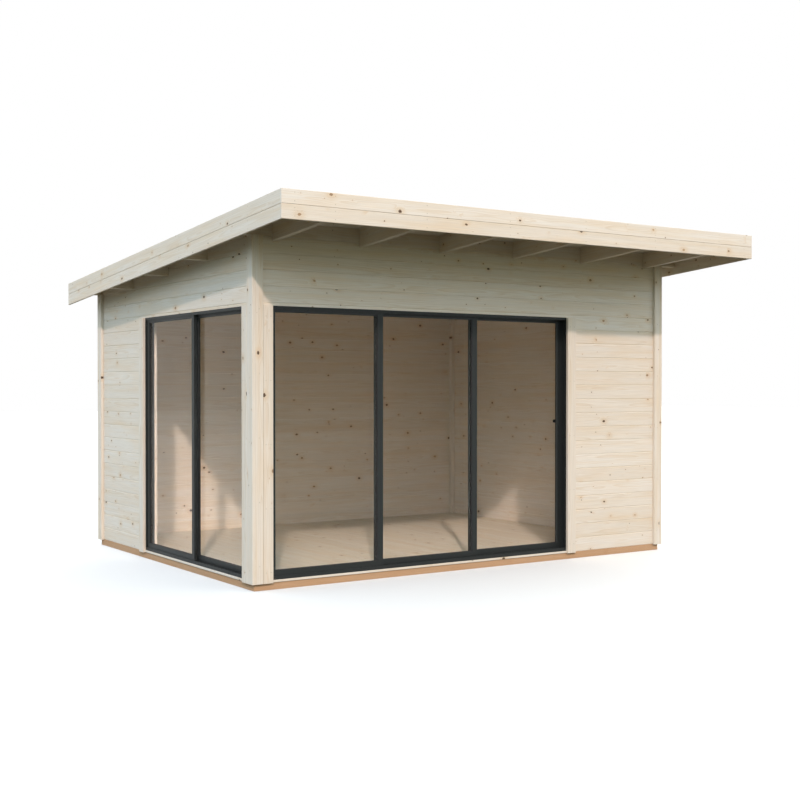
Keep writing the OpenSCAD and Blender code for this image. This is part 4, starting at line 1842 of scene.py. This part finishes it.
@dataclass
class Doors:
    """Both sliding doors."""

    lock_inset: float = 25.0 * MM

    def build(self) -> None:
        """Make the frames and the panels."""
        front, left = DoorMap("front_door_frame", True), DoorMap("left_door_frame", False)
        DoorFrame(front, "front_frame", 3, 4).build()
        DoorFrame(left, "left_frame", 2, 3).build()
        front_lock = front.spans("front_panel_right")[1][0] - self.lock_inset
        left_lock = left.spans("left_panel_front")[0][0] + self.lock_inset
        for door, node, body, kind, lock in (
                (front, "front_panel_left", "building", Leaf.FIXED, None),
                (front, "front_panel_middle", "front_middle_leaf", Leaf.SLIDING, None),
                (front, "front_panel_right", "front_right_leaf", Leaf.SLIDING, front_lock),
                (left, "left_panel_front", "left_front_leaf", Leaf.SLIDING, left_lock),
                (left, "left_panel_back", "building", Leaf.FIXED, None)):
            DoorPanel(door, node, body, kind, lock).build()


# ---------------------------------------------------------------------------
# Light, floor and camera
# ---------------------------------------------------------------------------


@dataclass
class Studio:
    """A pale floor, soft sky, low sun and the camera."""

    lens: float = 54.67
    yaw: float = 33.72
    pitch: float = 0.6645
    eye: Point = (-6.0813, -9.2002, 1.5)
    sun: Point = (0.346, 0.590, -0.440)
    sun_strength: float = 1.80
    sun_angle: float = 2.0
    sun_colour: Point = (1.0, 0.80, 0.735)
    sky_levels: Point = (0.0, 0.3, 0.75)
    sky: tuple[Point, Point, Point] = ((0.27, 0.28, 0.15), (0.62, 0.68, 0.74),
                                       (0.28, 0.25, 0.18))
    left_sky: tuple[Point, Point, Point] = ((0.13, 0.19, 0.16), (0.50, 0.56, 0.62),
                                            (0.14, 0.31, 0.45))
    sky_strength: float = 3.0
    dimmed: float = 0.45
    fill: Point = (-0.62, -0.62, -0.48)
    fill_strength: float = 0.7
    fill_angle: float = 50.0
    fill_colour: Point = (0.92, 0.96, 1.0)
    reach: float = 60.0

    def build(self) -> None:
        """Make the floor, the lights and the camera."""
        self._floor()
        self._sky()
        self._lamp("low_sun", self.sun_strength, self.sun_angle, self.sun_colour, self.sun)
        self._lamp("back_fill", self.fill_strength, self.fill_angle, self.fill_colour,
                   self.fill)
        self._camera()
        bpy.context.scene.view_settings.view_transform = "Standard"

    def _lamp(self, name: str, strength: float, angle: float, colour: Point,
              way: Point) -> None:
        """Add a distant lamp.

        Args:
            name: Its name.
            strength: Its strength.
            angle: How wide it looks from the ground, in degrees.
            colour: Its colour.
            way: The way that its light goes.
        """
        lamp = bpy.data.lights.new(name, "SUN")
        lamp.energy = strength
        lamp.angle = math.radians(angle)
        lamp.color = colour
        self._turn(linked(name, lamp), Vector(way))

    def _turn(self, thing: bpy.types.Object, way: Vector) -> None:
        """Turn a lamp or a camera so that it faces the given way."""
        thing.rotation_mode = "QUATERNION"
        thing.rotation_quaternion = way.to_track_quat("-Z", "Y")

    def _floor(self) -> None:
        """Make the floor, which isn't part of the building."""
        reach = self.reach
        mesh = bpy.data.meshes.new("studio_floor")
        mesh.from_pydata([(-reach, -reach, 0.0), (reach, -reach, 0.0), (reach, reach, 0.0),
                          (-reach, reach, 0.0)], [], [(0, 1, 2, 3)])
        mesh.materials.append(material(PALE))
        linked("studio_floor", mesh)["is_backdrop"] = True

    def _sky(self) -> None:
        """Make a world that is white to the camera and a soft sky to the building."""
        g = Graph(bpy.data.worlds.new("soft_sky"))
        way = g.add("SeparateXYZ", {0: g.add("TexCoord").outputs["Generated"]}).outputs
        to_left = g.add("MapRange", {"Value": way["X"], "From Min": 0.1, "From Max": -0.75})
        path = g.add("LightPath").outputs
        # Light from the sky reaches the room through the glass as a lamp's does, so a
        # scattered ray that gets out through the glass finds a dimmer sky
        again = g.math("MULTIPLY", path["Is Transmission Ray"],
                       g.math("GREATER_THAN", path["Diffuse Depth"], 0.5))
        strength = g.math("MULTIPLY_ADD", again, -self.sky_strength * self.dimmed,
                          self.sky_strength)
        colour = g.mix(to_left.outputs[0],
                       g.colours(way["Z"], list(zip(self.sky_levels, self.sky))),
                       g.colours(way["Z"], list(zip(self.sky_levels, self.left_sky))))
        soft = g.add("Background", {"Color": colour, "Strength": strength})
        white = g.add("Background", {"Color": rgb(1.0, 1.0, 1.0), "Strength": 1.0})
        mixed = g.add("MixShader", {0: g.seen(), 1: soft.outputs[0], 2: white.outputs[0]})
        bpy.context.scene.world = g.surface(mixed.outputs[0], "OutputWorld")

    def _camera(self) -> None:
        """Place the camera."""
        data = bpy.data.cameras.new("view")
        data.lens = self.lens
        data.sensor_width = 36.0
        data.clip_end = 500.0
        yaw, pitch = math.radians(self.yaw), math.radians(self.pitch)
        ahead = Vector((math.sin(yaw) * math.cos(pitch), math.cos(yaw) * math.cos(pitch),
                        -math.sin(pitch)))
        camera = linked("view", data)
        camera.location = self.eye
        self._turn(camera, ahead)
        bpy.context.scene.camera = camera


def write_sizes(packed: tuple) -> None:
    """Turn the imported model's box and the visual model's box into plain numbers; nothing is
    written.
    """
    def plain(box: tuple) -> list:
        """Return a box as lists of numbers."""
        return [[float(x) for x in corner] for corner in box]

    {"packed": plain(packed), "visual": plain(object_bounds())}


def main(packed: tuple) -> None:
    """Build the garden room piece by piece.

    Args:
        packed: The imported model's box.
    """
    logging.basicConfig(level=logging.INFO, format="%(name)s %(message)s")
    repeater = Repeater()
    roofline = Roofline()
    Studio().build()
    Foundation().build(repeater)
    Floor().build()
    Walls(roofline).build()
    screws = Cladding().build()
    SillBoards().build()
    InnerPosts().build()
    fascia_screws = Roof(roofline).build(repeater)
    Doors().build()
    heads = Screws(ScrewDriver())
    heads.build("trim_screws", screws, 111)
    heads.build("fascia_screws", fascia_screws, 112)
    write_sizes(packed)


if __name__ == "__main__":
    main(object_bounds())
